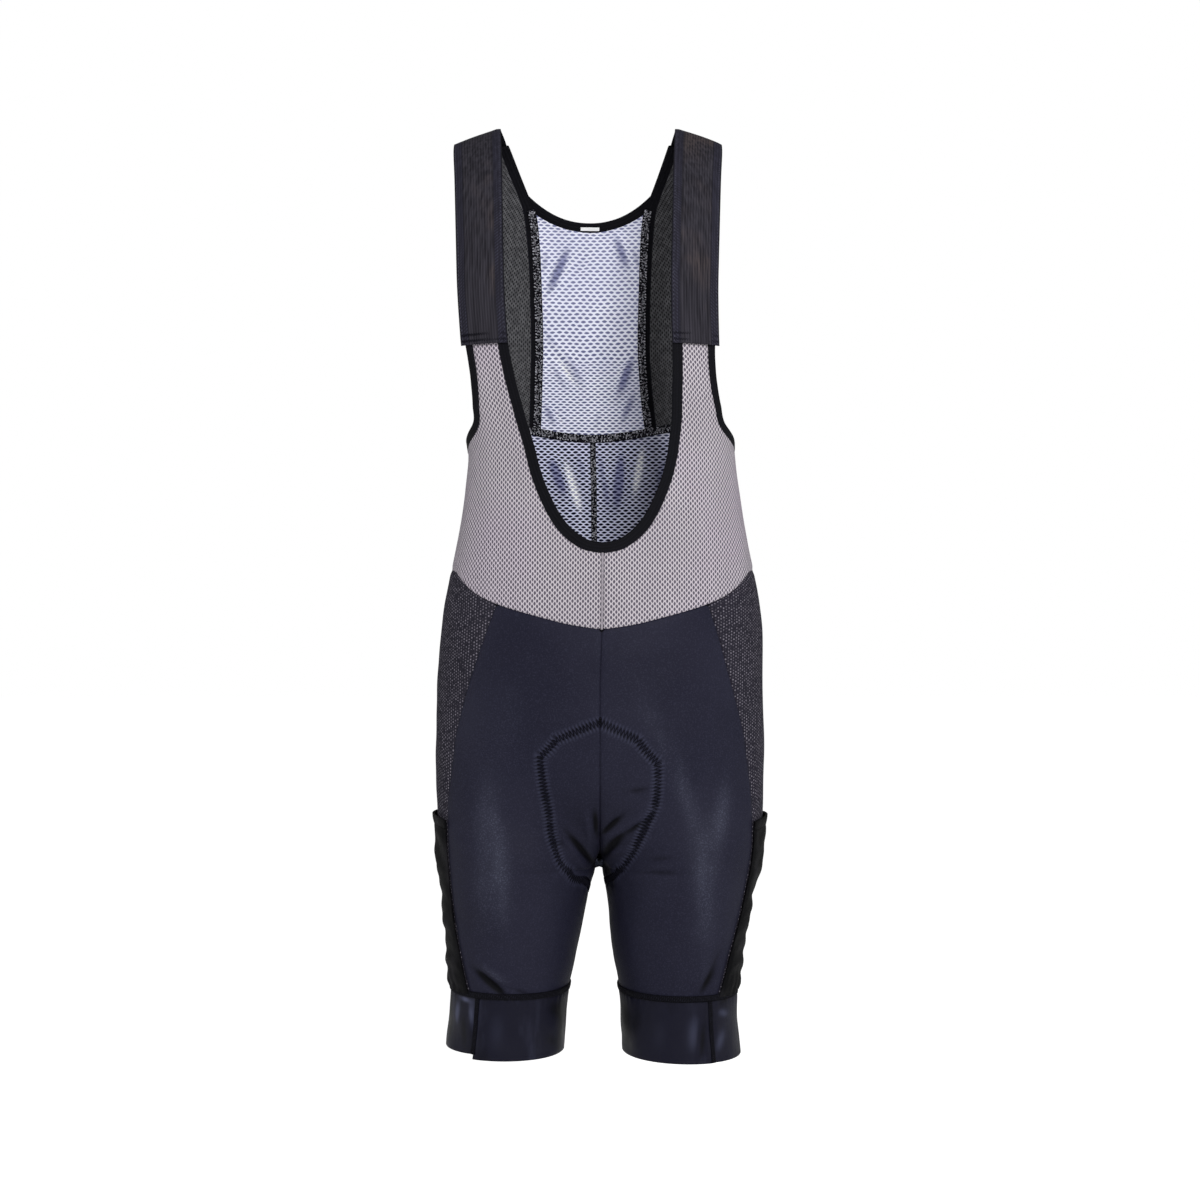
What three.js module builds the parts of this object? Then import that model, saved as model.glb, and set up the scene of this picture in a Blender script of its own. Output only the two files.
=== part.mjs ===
// Cycling bib shorts, filled out as when worn. Two elastic shoulder straps carry a mesh bib with a deep
// U neck and a mesh back. Below the waist seam are close-fitting shorts with a sewn-in seat pad, a pocket
// on the side of each thigh and a wide elastic band round each leg.
// Millimetres, +Z up, and the front faces -Y. The origin is midway between the tops of the two straps,
// where shoulders hold the garment up. "left" is the wearer's left, at +X.
import * as THREE from "three";

// Heights that drive the cut
const CHEST_Z = -217;
const RISE_Z = -600;
const CROTCH_Z = -729;
const LEG_SEAM_Z = -852;
const HEM_Z = -915;
const HEM_STEP = 5;
const WAIST_SIDE_Z = -437;
const WAIST_BACK_LIFT = 4;
const TONGUE_TOP_Z = -212;

// Cloth thicknesses, the gap between pieces, and strip widths
const CLOTH = 1.4;
const STRAP_CLOTH = 1.6;
const BINDING_CLOTH = 2.4;
const BINDING_PROUD = 0.5;
const LABEL_CLOTH = 1;
const SEAM_GAP = 0.4;
const BINDING_GAP = 0.35;
const LAP_GAP = 0.8;
const NECK_BINDING = 10;
const ARMHOLE_BINDING = 8;

// Places of the seams that run down the garment, as a share of the way round from the front centre (0)
// through the side (0.5) to the back centre (1)
const BIB_SIDE_SEAM = 0.53;
const BACK_SEAM_END_X = 114;
const BAND_SEAM_X = 113;

// Horizontal sections. half is the half-width at the side, front and back are the depths before and behind
// the side line, and the two squares say how square each quarter is, where 0.55 is an ellipse. inner is
// how far the inside of a leg stands from the middle plane.
const SECTIONS = [
  { at: -217, half: 148, front: 103, back: 106, squareFront: 0.7, squareBack: 0.66, inner: 0 },
  { at: -257, half: 143, front: 102, back: 106, squareFront: 0.68, squareBack: 0.65, inner: 0 },
  { at: -287, half: 137.5, front: 100, back: 104, squareFront: 0.66, squareBack: 0.64, inner: 0 },
  { at: -317, half: 133, front: 99, back: 101, squareFront: 0.64, squareBack: 0.62, inner: 0 },
  { at: -357, half: 136.5, front: 99, back: 97, squareFront: 0.62, squareBack: 0.62, inner: 0 },
  { at: -402, half: 143.5, front: 101, back: 97, squareFront: 0.61, squareBack: 0.61, inner: 0 },
  { at: -437, half: 150.5, front: 103, back: 101, squareFront: 0.6, squareBack: 0.6, inner: 0 },
  { at: -470, half: 157, front: 105, back: 107, squareFront: 0.6, squareBack: 0.6, inner: 0 },
  { at: -500, half: 160.5, front: 106, back: 113, squareFront: 0.6, squareBack: 0.6, inner: 0 },
  { at: -540, half: 162, front: 107, back: 123, squareFront: 0.6, squareBack: 0.6, inner: 0 },
  { at: -620, half: 164, front: 105, back: 126, squareFront: 0.6, squareBack: 0.6, inner: 0 },
  { at: -680, half: 162, front: 99, back: 119, squareFront: 0.6, squareBack: 0.6, inner: 0 },
  { at: -729, half: 158, front: 91, back: 104, squareFront: 0.6, squareBack: 0.6, inner: 0.4 },
  { at: -747, half: 155, front: 87.5, back: 97, squareFront: 0.6, squareBack: 0.6, inner: 6 },
  { at: -762, half: 152, front: 85, back: 92, squareFront: 0.6, squareBack: 0.6, inner: 9.5 },
  { at: -792, half: 148.5, front: 79, back: 83, squareFront: 0.6, squareBack: 0.6, inner: 13.5 },
  { at: -822, half: 145.5, front: 73, back: 75, squareFront: 0.6, squareBack: 0.6, inner: 18.5 },
  { at: -852, half: 142.7, front: 68, back: 69, squareFront: 0.6, squareBack: 0.6, inner: 24.5 },
  { at: -882, half: 144, front: 66, back: 67, squareFront: 0.6, squareBack: 0.6, inner: 27 },
  { at: -920, half: 148, front: 66.5, back: 67.5, squareFront: 0.6, squareBack: 0.6, inner: 29 },
];
const INSEAM_Y = 6;
const RISE_POWER = 0.8;
const UNDER_SHARE = 0.3;

// The shoulder: above the chest the cloth goes over in an arc. LEVEL_ARC is the run of levels from chest
// to crest, and the crest slopes down outwards from CREST_X.
const LEVEL_ARC = 245;
const CREST_X = 90;
const CREST_SLOPE = 0.35;

// Edges of the front strap by angle over the shoulder: 0 at the chest, 90 at the crest
const STRAP_EDGES = [
  { at: 112, inner: 81, outer: 131 },
  { at: 90, inner: 87, outer: 132.5 },
  { at: 75, inner: 85.5, outer: 132 },
  { at: 50, inner: 82.5, outer: 128.6 },
  { at: 25, inner: 80, outer: 125.5 },
  { at: 0, inner: 77.7, outer: 122.8 },
  { at: -10, inner: 77, outer: 122 },
];
const STRAP_START = -1.8;
const STRAP_END = 110;
const BACK_STRAP_TOP = 75;

// The neck opening's edge on one side, from the bottom of the U up to the strap
const NECK_EDGE = [
  { x: 0, z: -412 },
  { x: 16, z: -408.5 },
  { x: 34, z: -394 },
  { x: 48, z: -371 },
  { x: 60, z: -339 },
  { x: 68, z: -303 },
  { x: 74, z: -265 },
  { x: 77.5, z: -235 },
  { x: 78.8, z: -212 },
];

// The armhole's edge from the front strap, under the arm and up the back strap, by x and height
const ARMHOLE_FRONT = [
  { x: 120.8, z: -212 },
  { x: 119.4, z: -235 },
  { x: 119, z: -256 },
  { x: 120.5, z: -278 },
  { x: 124.4, z: -297 },
];
const ARMHOLE_UNDER = { share: 0.53, z: -312 };
const ARMHOLE_BACK = [
  { x: 129, z: -304 },
  { x: 124.5, z: -293 },
  { x: 121.5, z: -275 },
  { x: 120, z: -235 },
  { x: 120.3, z: -180 },
  { x: 121.5, z: -130 },
  { x: 124, z: -85 },
  { x: 127.5, z: -47 },
  { x: 130, z: -25 },
  { x: 131.5, z: -14.5 },
];

// The band that edges each back strap: inner is its line towards the neck and the white mesh, and outer
// is its line towards the strap's own mesh
const BACK_BAND = [
  { at: 0, inner: 85, outer: 95 },
  { at: -8, inner: 81, outer: 91 },
  { at: -18, inner: 76.8, outer: 87 },
  { at: -33, inner: 70.7, outer: 81 },
  { at: -49, inner: 64, outer: 74.2 },
  { at: -67, inner: 56.5, outer: 68.5 },
  { at: -90, inner: 54, outer: 66 },
  { at: -130, inner: 52.5, outer: 63.8 },
  { at: -200, inner: 51, outer: 62.6 },
  { at: -250, inner: 53, outer: 64.5 },
  { at: -300, inner: 57, outer: 68 },
];
const NECK_TOP = { z: -75, lift: 26, half: 64, power: 2.2, end: -49 };
const NECK_BOTTOM = { z: -84, lift: 17, half: 56.5, power: 2, end: -67 };
const BACK_SEAM_Z = -298;
const BACK_SEAM_LIFT = 12;

// Seam between the front of the leg and the side panel, by its distance from the middle plane
const SIDE_SEAM = [
  { at: -440, x: 93 },
  { at: -470, x: 101.5 },
  { at: -503, x: 113 },
  { at: -525, x: 120 },
  { at: -565, x: 132 },
  { at: -610, x: 142.5 },
  { at: -672, x: 149 },
  { at: -700, x: 148.5 },
  { at: -762, x: 141.5 },
  { at: -818, x: 129.5 },
  { at: -852, x: 121 },
];

// How far the waist seam lies below its height at the side, by the share of the way round
const WAIST_DROP = [
  { at: 0.5, drop: 0 },
  { at: 0.42, drop: 1.5 },
  { at: 0.36, drop: 9.5 },
  { at: 0.31, drop: 19 },
  { at: 0.26, drop: 27.5 },
  { at: 0.21, drop: 34.5 },
  { at: 0.12, drop: 45.5 },
  { at: 0.05, drop: 54 },
  { at: 0, drop: 58 },
];

// Thigh pocket
const POCKET_TOP_Z = -679;
const POCKET_HEM = 9;
const POCKET_STAND = 1.2;
const POCKET_BULGE = 2.2;
const POCKET_WAVES = 3.5;
const POCKET_WAVE_HEIGHT = 0.9;

// Seat pad: its sewn outline on one side by distance and height, from the corner at its front, down to
// the inside of the leg, and from there up the back
const PAD_TOP = { front: -583, back: -600 };
const PAD_FRONT = [
  { x: 54, z: -615 },
  { x: 52, z: -640 },
  { x: 47, z: -670 },
  { x: 40, z: -705 },
  { x: 30, z: -730 },
];
const PAD_LOWEST = -757;
const PAD_BACK = [
  { x: 32, z: -738 },
  { x: 55, z: -718 },
  { x: 74, z: -685 },
  { x: 78, z: -650 },
  { x: 66, z: -622 },
];
const PAD_STEPS = 7;
const PAD_ROWS = 12;
const PAD_CROWDING = 1.8;
const PAD_THICK = 7;
const PAD_EDGE = 1.6;
const PAD_STAND = 3;

// Small white label inside the back of the neck
const LABEL = { half: 10, top: -77.5, bottom: -82 };

// The pose: the garment hangs a little askew. aside is how far the cloth has moved towards +X at a
// height, and behind is how much further the back has moved there.
const POSE = [
  { at: 10, aside: 0, behind: 2 },
  { at: -150, aside: 0, behind: 2 },
  { at: -212, aside: 2, behind: 0 },
  { at: -255, aside: 6, behind: -3 },
  { at: -300, aside: 11.5, behind: -7 },
  { at: -330, aside: 13.8, behind: -9 },
  { at: -400, aside: 14.5, behind: -9 },
  { at: -480, aside: 14, behind: -3 },
  { at: -560, aside: 12, behind: 0 },
  { at: -700, aside: 12, behind: 0 },
  { at: -760, aside: 9.5, behind: 0 },
  { at: -822, aside: 6.5, behind: 0 },
  { at: -925, aside: 5, behind: 0 },
];
const POSE_DEPTH = 100;
const LEG_DROP = 0.016;

// Soft folds. Each is a straight line from one end to the other, in x and height, with the width of its
// crest and its height, which is negative for a trough.
const BACK_FOLDS = [
  { x0: -16, z0: -90, x1: -47, z1: -152, width: 8, height: -2.6 },
  { x0: 6, z0: -86, x1: -26, z1: -150, width: 9, height: 2.4 },
  { x0: 22, z0: -84, x1: 46, z1: -142, width: 8, height: -2.6 },
  { x0: -47, z0: -205, x1: -18, z1: -262, width: 9, height: 2.6 },
  { x0: 47, z0: -208, x1: 26, z1: -270, width: 9, height: -2.4 },
  { x0: -49, z0: -309, x1: -28, z1: -372, width: 9, height: -2.6 },
  { x0: -32, z0: -308, x1: -10, z1: -386, width: 9, height: 2.6 },
  { x0: 30, z0: -308, x1: 20, z1: -384, width: 9, height: -2.6 },
  { x0: 53, z0: -305, x1: 42, z1: -372, width: 9, height: 2.6 },
  { x0: 84, z0: -305, x1: 96, z1: -395, width: 12, height: -2.4 },
  { x0: -80, z0: -305, x1: -98, z1: -400, width: 12, height: -2.4 },
];
const FRONT_FOLDS = [
  { x0: 2, z0: -700, x1: 38, z1: -664, width: 8, height: -3.2 },
  { x0: -6, z0: -708, x1: -36, z1: -664, width: 8, height: -3 },
  { x0: 12, z0: -722, x1: 52, z1: -704, width: 8, height: -2.4 },
];

const COLOURS = {
  bibMesh: { color: 0xaaa2a8, roughness: 0.8, metalness: 0 },
  backMesh: { color: 0xdadbe8, roughness: 0.75, metalness: 0 },
  strapMesh: { color: 0x47474a, roughness: 0.85, metalness: 0 },
  elastic: { color: 0x2c2b33, roughness: 0.75, metalness: 0 },
  binding: { color: 0x131217, roughness: 0.8, metalness: 0 },
  navyCloth: { color: 0x23243a, roughness: 0.5, metalness: 0 },
  sideCloth: { color: 0x2b2b33, roughness: 0.85, metalness: 0 },
  pocketCloth: { color: 0x101013, roughness: 0.6, metalness: 0 },
  bandCloth: { color: 0x20213a, roughness: 0.38, metalness: 0 },
  pad: { color: 0x2f3440, roughness: 0.9, metalness: 0 },
  label: { color: 0xeeeeee, roughness: 0.7, metalness: 0 },
};

const lerp = THREE.MathUtils.lerp;
const clamp = THREE.MathUtils.clamp;

// One column of a table, on a smooth curve that never overshoots its rows. Rows are in falling order of
// what they are read at, which is a height, an angle or a share.
function readTable(rows, measure, column) {
  const last = rows.length - 1;
  const at = clamp(measure, rows[last].at, rows[0].at);
  const i = clamp(rows.findIndex((row) => row.at < at) - 1, 0, last - 1);
  const k = at <= rows[last].at ? last - 1 : i;
  const slope = (j) => (rows[j + 1][column] - rows[j][column]) / (rows[j + 1].at - rows[j].at);
  const tangent = (j) => {
    if (j === 0) return slope(0);
    if (j === last) return slope(last - 1);
    const product = slope(j - 1) * slope(j);
    return product <= 0 ? 0 : (2 * product) / (slope(j - 1) + slope(j));
  };
  const run = rows[k + 1].at - rows[k].at;
  const t = (at - rows[k].at) / run;
  const rise = rows[k + 1][column] - rows[k][column];
  const start = tangent(k) * run;
  const end = tangent(k + 1) * run;
  const bend = t * t * (3 * rise - 2 * start - end) + t * t * t * (start + end - 2 * rise);
  return rows[k][column] + t * start + bend;
}

const crestHeight = (x) => -CREST_SLOPE * Math.max(0, Math.abs(x) - CREST_X);

// How far a fold table lifts the cloth at a place
function foldLift(folds, x, z) {
  let lift = 0;
  for (const fold of folds) {
    const run = new THREE.Vector2(fold.x1 - fold.x0, fold.z1 - fold.z0);
    const from = new THREE.Vector2(x - fold.x0, z - fold.z0);
    const along = from.dot(run) / run.lengthSq();
    const inside = clamp(along, 0, 1);
    const away = from.clone().addScaledVector(run, -inside).length() / fold.width;
    lift += fold.height * Math.sin(Math.PI * clamp(along, 0.08, 0.92)) * Math.exp(-away * away);
  }
  return lift;
}

// Plan of the cloth at one level, on the +X side. t is 0 at the centre line and 1 at the side, and facing
// is -1 for the front and 1 for the back. Above the crotch each half of the shorts is open along the middle
// plane. The centre line curves under as the rise of the shorts does, until the leg closes on itself. Away
// from the centre line, past UNDER_SHARE, the cloth runs on down the leg without that turn.
function sectionPoint(t, level, facing) {
  const top = Math.min(level, CHEST_Z);
  const rise = clamp((RISE_Z - top) / (RISE_Z - CROTCH_Z), 0, 1);
  const turn = (rise * Math.PI) / 2;
  const closing = rise * rise * (3 - 2 * rise);
  const isRising = rise > 0 && rise < 1;
  const centreZ = isRising ? RISE_Z + (CROTCH_Z - RISE_Z) * Math.pow(Math.sin(turn), RISE_POWER) : top;
  const z = lerp(top, centreZ, Math.pow(1 - t, 2) * (1 + 2 * t));
  const half = readTable(SECTIONS, z, "half");
  const inner = z > CROTCH_Z ? 0 : readTable(SECTIONS, z, "inner");
  const square = readTable(SECTIONS, z, facing < 0 ? "squareFront" : "squareBack");
  const depth = readTable(SECTIONS, z, facing < 0 ? "front" : "back");
  const under = Math.pow(Math.max(Math.cos(turn), 0), RISE_POWER);
  const away = THREE.MathUtils.smoothstep(t, 0, UNDER_SHARE);
  const centreY = facing * depth * lerp(under, 1 - closing, away) + INSEAM_Y * closing;
  const legY = (facing * depth * 4) / 3;
  const handleX = lerp(inner + square * half, inner, closing);
  const curve = new THREE.CubicBezierCurve(
    new THREE.Vector2(inner, centreY),
    new THREE.Vector2(handleX, lerp(facing * depth, legY, closing)),
    new THREE.Vector2(half, lerp(facing * depth * square, legY, closing)),
    new THREE.Vector2(half, 0),
  );
  const plan = curve.getPoint(t);
  return new THREE.Vector3(plan.x, plan.y, z);
}

// One side of the worn cloth. around goes from the front centre (0) through the side (0.5) to the back
// centre (1), and mirror is 1 for the left side and -1 for the right. level is the height at the side, and
// above the chest it runs over the shoulder.
function sidePoint(around, level, mirror) {
  const facing = around <= 0.5 ? -1 : 1;
  const t = clamp(around <= 0.5 ? 2 * around : 2 * (1 - around), 0, 1);
  const point = sectionPoint(t, level, facing);
  if (level > CHEST_Z) {
    const over = (((level - CHEST_Z) / LEVEL_ARC) * Math.PI) / 2;
    point.z = CHEST_Z + (crestHeight(point.x) - CHEST_Z) * Math.sin(over);
    point.y *= Math.cos(over);
  }
  point.x *= mirror;
  point.y += facing * foldLift(facing < 0 ? FRONT_FOLDS : BACK_FOLDS, point.x, point.z);
  return point;
}

// The whole surface, where share goes on round the right side and is negative there
function body(share, level) {
  const wrapped = THREE.MathUtils.euclideanModulo(share + 1, 2) - 1;
  return sidePoint(Math.abs(wrapped), level, wrapped < 0 ? -1 : 1);
}

// The same surface for pieces of one leg, which closes on itself below the crotch
const leg = (side) => (share, level) => {
  const around = share * side;
  if (level > CROTCH_Z) return sidePoint(Math.abs(around), level, around < 0 ? -side : side);
  return sidePoint(THREE.MathUtils.euclideanModulo(around, 1), level, side);
};

// How far along a section, from the centre line to the side, the cloth is at distance x
function tAt(x, level, facing) {
  let low = 0;
  let high = 1;
  for (let i = 0; i < 40; i++) {
    const middle = (low + high) / 2;
    if (sectionPoint(middle, level, facing).x < Math.abs(x)) low = middle;
    else high = middle;
  }
  return low;
}

// The share at which the cloth is at distance x from the middle plane, on the front or the back
function shareAt(x, level, facing) {
  const t = tAt(x, level, facing);
  const share = facing < 0 ? t / 2 : 1 - t / 2;
  if (x >= 0) return share;
  return facing < 0 ? -share : 2 - share;
}

// The place on the front or back of the shorts at distance x and height z, where levels sag to the crotch
function shortsAt(x, z, facing) {
  let low = HEM_Z;
  let high = RISE_Z;
  for (let i = 0; i < 30; i++) {
    const level = (low + high) / 2;
    if (sectionPoint(tAt(x, level, facing), level, facing).z < z) low = level;
    else high = level;
  }
  return [shareAt(x, high, facing), high];
}

// The level of a place at distance x and height z
function levelAt(x, z) {
  if (z <= CHEST_Z) return z;
  const reach = clamp((z - CHEST_Z) / (crestHeight(x) - CHEST_Z), 0, 1);
  return CHEST_Z + (LEVEL_ARC * Math.asin(reach) * 2) / Math.PI;
}

const frontAt = (x, z) => [shareAt(x, levelAt(x, z), -1), levelAt(x, z)];
const backAt = (x, z) => [shareAt(x, levelAt(x, z), 1), levelAt(x, z)];

// The strap's surface: x across, and the angle over the shoulder from the chest to the back
function strapSurface(x, angle) {
  const facing = angle <= 90 ? -1 : 1;
  const level = CHEST_Z + (LEVEL_ARC * (angle <= 90 ? angle : 180 - angle)) / 90;
  return body(shareAt(x, level, facing), level);
}

const PROBE = { share: 0.002, level: 0.5 };

// Directions of a surface at a place: along p, along q, and its outward normal
function surfaceFrame(surface, p, q, stepP = PROBE.share, stepQ = PROBE.level) {
  const alongP = surface(p + stepP, q).sub(surface(p - stepP, q)).divideScalar(2 * stepP);
  const alongQ = surface(p, q + stepQ).sub(surface(p, q - stepQ)).divideScalar(2 * stepQ);
  return { alongP, alongQ, normal: alongP.clone().cross(alongQ).normalize() };
}

// A line on the body moved sideways over the cloth by a distance
function moved(line, distance) {
  const step = 1e-3;
  return (s) => {
    const [p, q] = line(s);
    const ahead = body(...line(s + step));
    const along = ahead.sub(body(...line(s - step))).normalize();
    const { alongP, alongQ, normal } = surfaceFrame(body, p, q);
    const aside = normal.cross(along).multiplyScalar(distance);
    const pp = alongP.dot(alongP);
    const pq = alongP.dot(alongQ);
    const qq = alongQ.dot(alongQ);
    const determinant = pp * qq - pq * pq;
    const dp = (aside.dot(alongP) * qq - aside.dot(alongQ) * pq) / determinant;
    const dq = (aside.dot(alongQ) * pp - aside.dot(alongP) * pq) / determinant;
    return [p + dp, q + dq];
  };
}

// A smooth line through places on the body, by share and level, with its own length as its measure
const SHARE_MM = 470;
function lineThrough(places) {
  const curve = new THREE.SplineCurve(places.map(([p, q]) => new THREE.Vector2(p * SHARE_MM, q)));
  curve.arcLengthDivisions = 400;
  return (s) => {
    const inside = clamp(s, 0, 1);
    const point = curve.getPointAt(inside);
    const beyond = curve.getTangentAt(inside).multiplyScalar((s - inside) * curve.getLength());
    point.add(beyond);
    return [point.x / SHARE_MM, point.y];
  };
}

// The place on a line where a measure of it reaches a value, between two values of s
function findOn(line, measure, value, low, high) {
  const rising = measure(line(high)) > measure(line(low));
  let from = low;
  let to = high;
  for (let i = 0; i < 40; i++) {
    const middle = (from + to) / 2;
    if (measure(line(middle)) < value === rising) from = middle;
    else to = middle;
  }
  return from;
}

const evenSteps = (from, to, steps) =>
  Array.from({ length: steps + 1 }, (_, i) => lerp(from, to, i / steps));
const part = (line, from, to) => (s) => line(lerp(from, to, s));
const straight = (start, end) => (s) => [lerp(start[0], end[0], s), lerp(start[1], end[1], s)];

// Two lines end to end as one, where the first takes a share of the whole
function joined(first, second, split) {
  return (s) => (s <= split ? first(s / split) : second((s - split) / (1 - split)));
}

// Places of a patch between four lines: top and bottom run across it, start and end run down it. A power
// above 1 sets the columns closer together at the start.
function patch(lines, across, down, power = 1) {
  const { top, bottom, start, end } = lines;
  const rows = [];
  for (let j = 0; j <= down; j++) {
    const b = j / down;
    const row = [];
    for (let i = 0; i <= across; i++) {
      const a = Math.pow(i / across, power);
      const place = [0, 1].map((k) => {
        const sides = (1 - a) * start(b)[k] + a * end(b)[k];
        const ends = (1 - b) * top(a)[k] + b * bottom(a)[k];
        const startCorners = (1 - b) * start(0)[k] + b * start(1)[k];
        const endCorners = (1 - b) * end(0)[k] + b * end(1)[k];
        return sides + ends - (1 - a) * startCorners - a * endCorners;
      });
      row.push(place);
    }
    rows.push(row);
  }
  return rows;
}

// Draws the edges of a patch in by half a seam gap
function drawnIn(rows, surface, gap = SEAM_GAP / 2) {
  const towards = (place, inner) => {
    const length = surface(...place).distanceTo(surface(...inner));
    const share = gap / Math.max(length, gap);
    return [lerp(place[0], inner[0], share), lerp(place[1], inner[1], share)];
  };
  const lastRow = rows.length - 1;
  const lastColumn = rows[0].length - 1;
  const sides = rows.map((row) => {
    const copy = row.slice();
    copy[0] = towards(row[0], row[1]);
    copy[lastColumn] = towards(row[lastColumn], row[lastColumn - 1]);
    return copy;
  });
  const result = sides.map((row) => row.slice());
  for (let i = 0; i <= lastColumn; i++) {
    result[0][i] = towards(sides[0][i], sides[1][i]);
    result[lastRow][i] = towards(sides[lastRow][i], sides[lastRow - 1][i]);
  }
  return result;
}

// A closed wall from its outer and inner points, which are grids of the same size
function wallGeometry(outer, inner) {
  const down = outer.length;
  const across = outer[0].length;
  const points = [...outer.flat(), ...inner.flat()];
  const positions = points.flatMap((point) => point.toArray());
  const outerAt = (j, i) => j * across + i;
  const innerAt = (j, i) => down * across + j * across + i;
  const faces = [];
  // Each four-sided face is split along its shorter diagonal, which keeps curved cloth smooth
  const quad = (a, b, c, d) => {
    const isSplitAC = points[a].distanceTo(points[c]) <= points[b].distanceTo(points[d]);
    faces.push(...(isSplitAC ? [a, b, c, a, c, d] : [a, b, d, b, c, d]));
  };
  for (let j = 0; j < down - 1; j++) {
    for (let i = 0; i < across - 1; i++) {
      quad(outerAt(j, i), outerAt(j + 1, i), outerAt(j + 1, i + 1), outerAt(j, i + 1));
      quad(innerAt(j, i), innerAt(j, i + 1), innerAt(j + 1, i + 1), innerAt(j + 1, i));
    }
  }
  const endColumn = across - 1;
  for (let j = 0; j < down - 1; j++) {
    quad(outerAt(j, 0), innerAt(j, 0), innerAt(j + 1, 0), outerAt(j + 1, 0));
    quad(outerAt(j + 1, endColumn), innerAt(j + 1, endColumn), innerAt(j, endColumn), outerAt(j, endColumn));
  }
  const endRow = down - 1;
  for (let i = 0; i < across - 1; i++) {
    quad(outerAt(0, i + 1), innerAt(0, i + 1), innerAt(0, i), outerAt(0, i));
    quad(outerAt(endRow, i), innerAt(endRow, i), innerAt(endRow, i + 1), outerAt(endRow, i + 1));
  }
  const geometry = new THREE.BufferGeometry();
  geometry.setAttribute("position", new THREE.Float32BufferAttribute(positions, 3));
  geometry.setIndex(facingOut(positions, faces));
  geometry.computeVertexNormals();
  return geometry;
}

// The faces as they are, or all turned round if they enclose a negative volume
function facingOut(positions, faces) {
  const corner = (index) => new THREE.Vector3().fromArray(positions, 3 * index);
  let volume = 0;
  for (let k = 0; k < faces.length; k += 3) {
    volume += corner(faces[k]).dot(corner(faces[k + 1]).cross(corner(faces[k + 2])));
  }
  if (volume >= 0) return faces;
  const turned = faces.slice();
  for (let k = 0; k < turned.length; k += 3) {
    [turned[k + 1], turned[k + 2]] = [turned[k + 2], turned[k + 1]];
  }
  return turned;
}

// A cloth wall on a surface. proud is how far its outer face stands off the surface and thick is the
// wall's thickness, and each may vary over the piece, by the share across and down it.
function clothWall(rows, { surface = body, proud = 0, thick = CLOTH, stepP, stepQ } = {}) {
  const value = (size, i, j) => {
    if (typeof size !== "function") return size;
    return size(i / (rows[0].length - 1), j / (rows.length - 1));
  };
  const layer = (depthOf) =>
    rows.map((row, j) =>
      row.map(([p, q], i) => {
        const { normal } = surfaceFrame(surface, p, q, stepP, stepQ);
        return surface(p, q).addScaledVector(normal, depthOf(i, j));
      }),
    );
  const outer = layer((i, j) => value(proud, i, j));
  const inner = layer((i, j) => value(proud, i, j) - value(thick, i, j));
  return wallGeometry(outer, inner);
}

// The same piece on the other side of the middle plane
function mirrored(geometry) {
  const copy = geometry.clone();
  copy.scale(-1, 1, 1);
  copy.setIndex(facingOut([...copy.getAttribute("position").array], [...copy.getIndex().array]));
  copy.computeVertexNormals();
  return copy;
}

// A point of the symmetric garment moved into its pose
function posed(point) {
  const behind = (readTable(POSE, point.z, "behind") * Math.max(point.y, 0)) / POSE_DEPTH;
  const aside = readTable(POSE, point.z, "aside") + behind;
  const low = clamp((RISE_Z - point.z) / (RISE_Z - HEM_Z), 0, 1);
  return new THREE.Vector3(point.x + aside, point.y, point.z - LEG_DROP * point.x * low);
}

const garment = new THREE.Group();

function sew(name, geometry, colour) {
  const positions = geometry.getAttribute("position");
  for (let i = 0; i < positions.count; i++) {
    const point = posed(new THREE.Vector3().fromBufferAttribute(positions, i));
    positions.setXYZ(i, point.x, point.y, point.z);
  }
  geometry.computeVertexNormals();
  const mesh = new THREE.Mesh(geometry, new THREE.MeshStandardMaterial(COLOURS[colour]));
  mesh.name = name;
  garment.add(mesh);
}

// A piece for each side. makePiece is given the side, 1 for left and -1 for right, because folds differ.
function sewPair(name, makePiece, colour) {
  sew(`${name}_left`, makePiece(1), colour);
  sew(`${name}_right`, makePiece(-1), colour);
}

// The places of a piece on the other side
const onSide = (rows, side) => (side > 0 ? rows : rows.map((row) => row.map(([p, q]) => [-p, q])));

// Seam and edge lines

const waistLevel = (share) => {
  if (share < 0.5) return WAIST_SIDE_Z - readTable(WAIST_DROP, share, "drop");
  return WAIST_SIDE_Z + WAIST_BACK_LIFT * Math.cos(Math.PI * share) ** 2;
};
const waistLine = (from, to) => (s) => [lerp(from, to, s), waistLevel(lerp(from, to, s))];

const neckSpline = lineThrough(NECK_EDGE.map(({ x, z }) => frontAt(x, z)));
const neckOpening = (s) => {
  const [share, level] = neckSpline(Math.abs(s));
  return [s < 0 ? -share : share, level];
};
const neckMeshEdge = moved(neckOpening, -NECK_BINDING);

const armholeOpening = lineThrough([
  ...ARMHOLE_FRONT.map(({ x, z }) => frontAt(x, z)),
  [ARMHOLE_UNDER.share, ARMHOLE_UNDER.z],
  ...ARMHOLE_BACK.map(({ x, z }) => backAt(x, z)),
]);
const armholeMeshEdge = moved(armholeOpening, -ARMHOLE_BINDING);
const shareOf = (place) => place[0];
const levelOf = (place) => place[1];

const backSeamLevel = (x) => {
  const reach = Math.min(Math.abs(x) / BACK_SEAM_END_X, 1);
  return BACK_SEAM_Z + (BACK_SEAM_LIFT * (1 - Math.cos(Math.PI * reach))) / 2;
};
const backSeam = (from, to) => (s) => backAt(lerp(from, to, s), backSeamLevel(lerp(from, to, s)));

const armholeSide = findOn(armholeMeshEdge, shareOf, BIB_SIDE_SEAM, 0, 0.6);
const armholeBack = findOn(armholeMeshEdge, levelOf, backSeamLevel(BACK_SEAM_END_X), armholeSide, 0.8);
const strapTopLevel = CHEST_Z + (LEVEL_ARC * BACK_STRAP_TOP) / 90;
const armholeTop = findOn(armholeMeshEdge, levelOf, strapTopLevel, armholeBack, 1);

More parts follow.
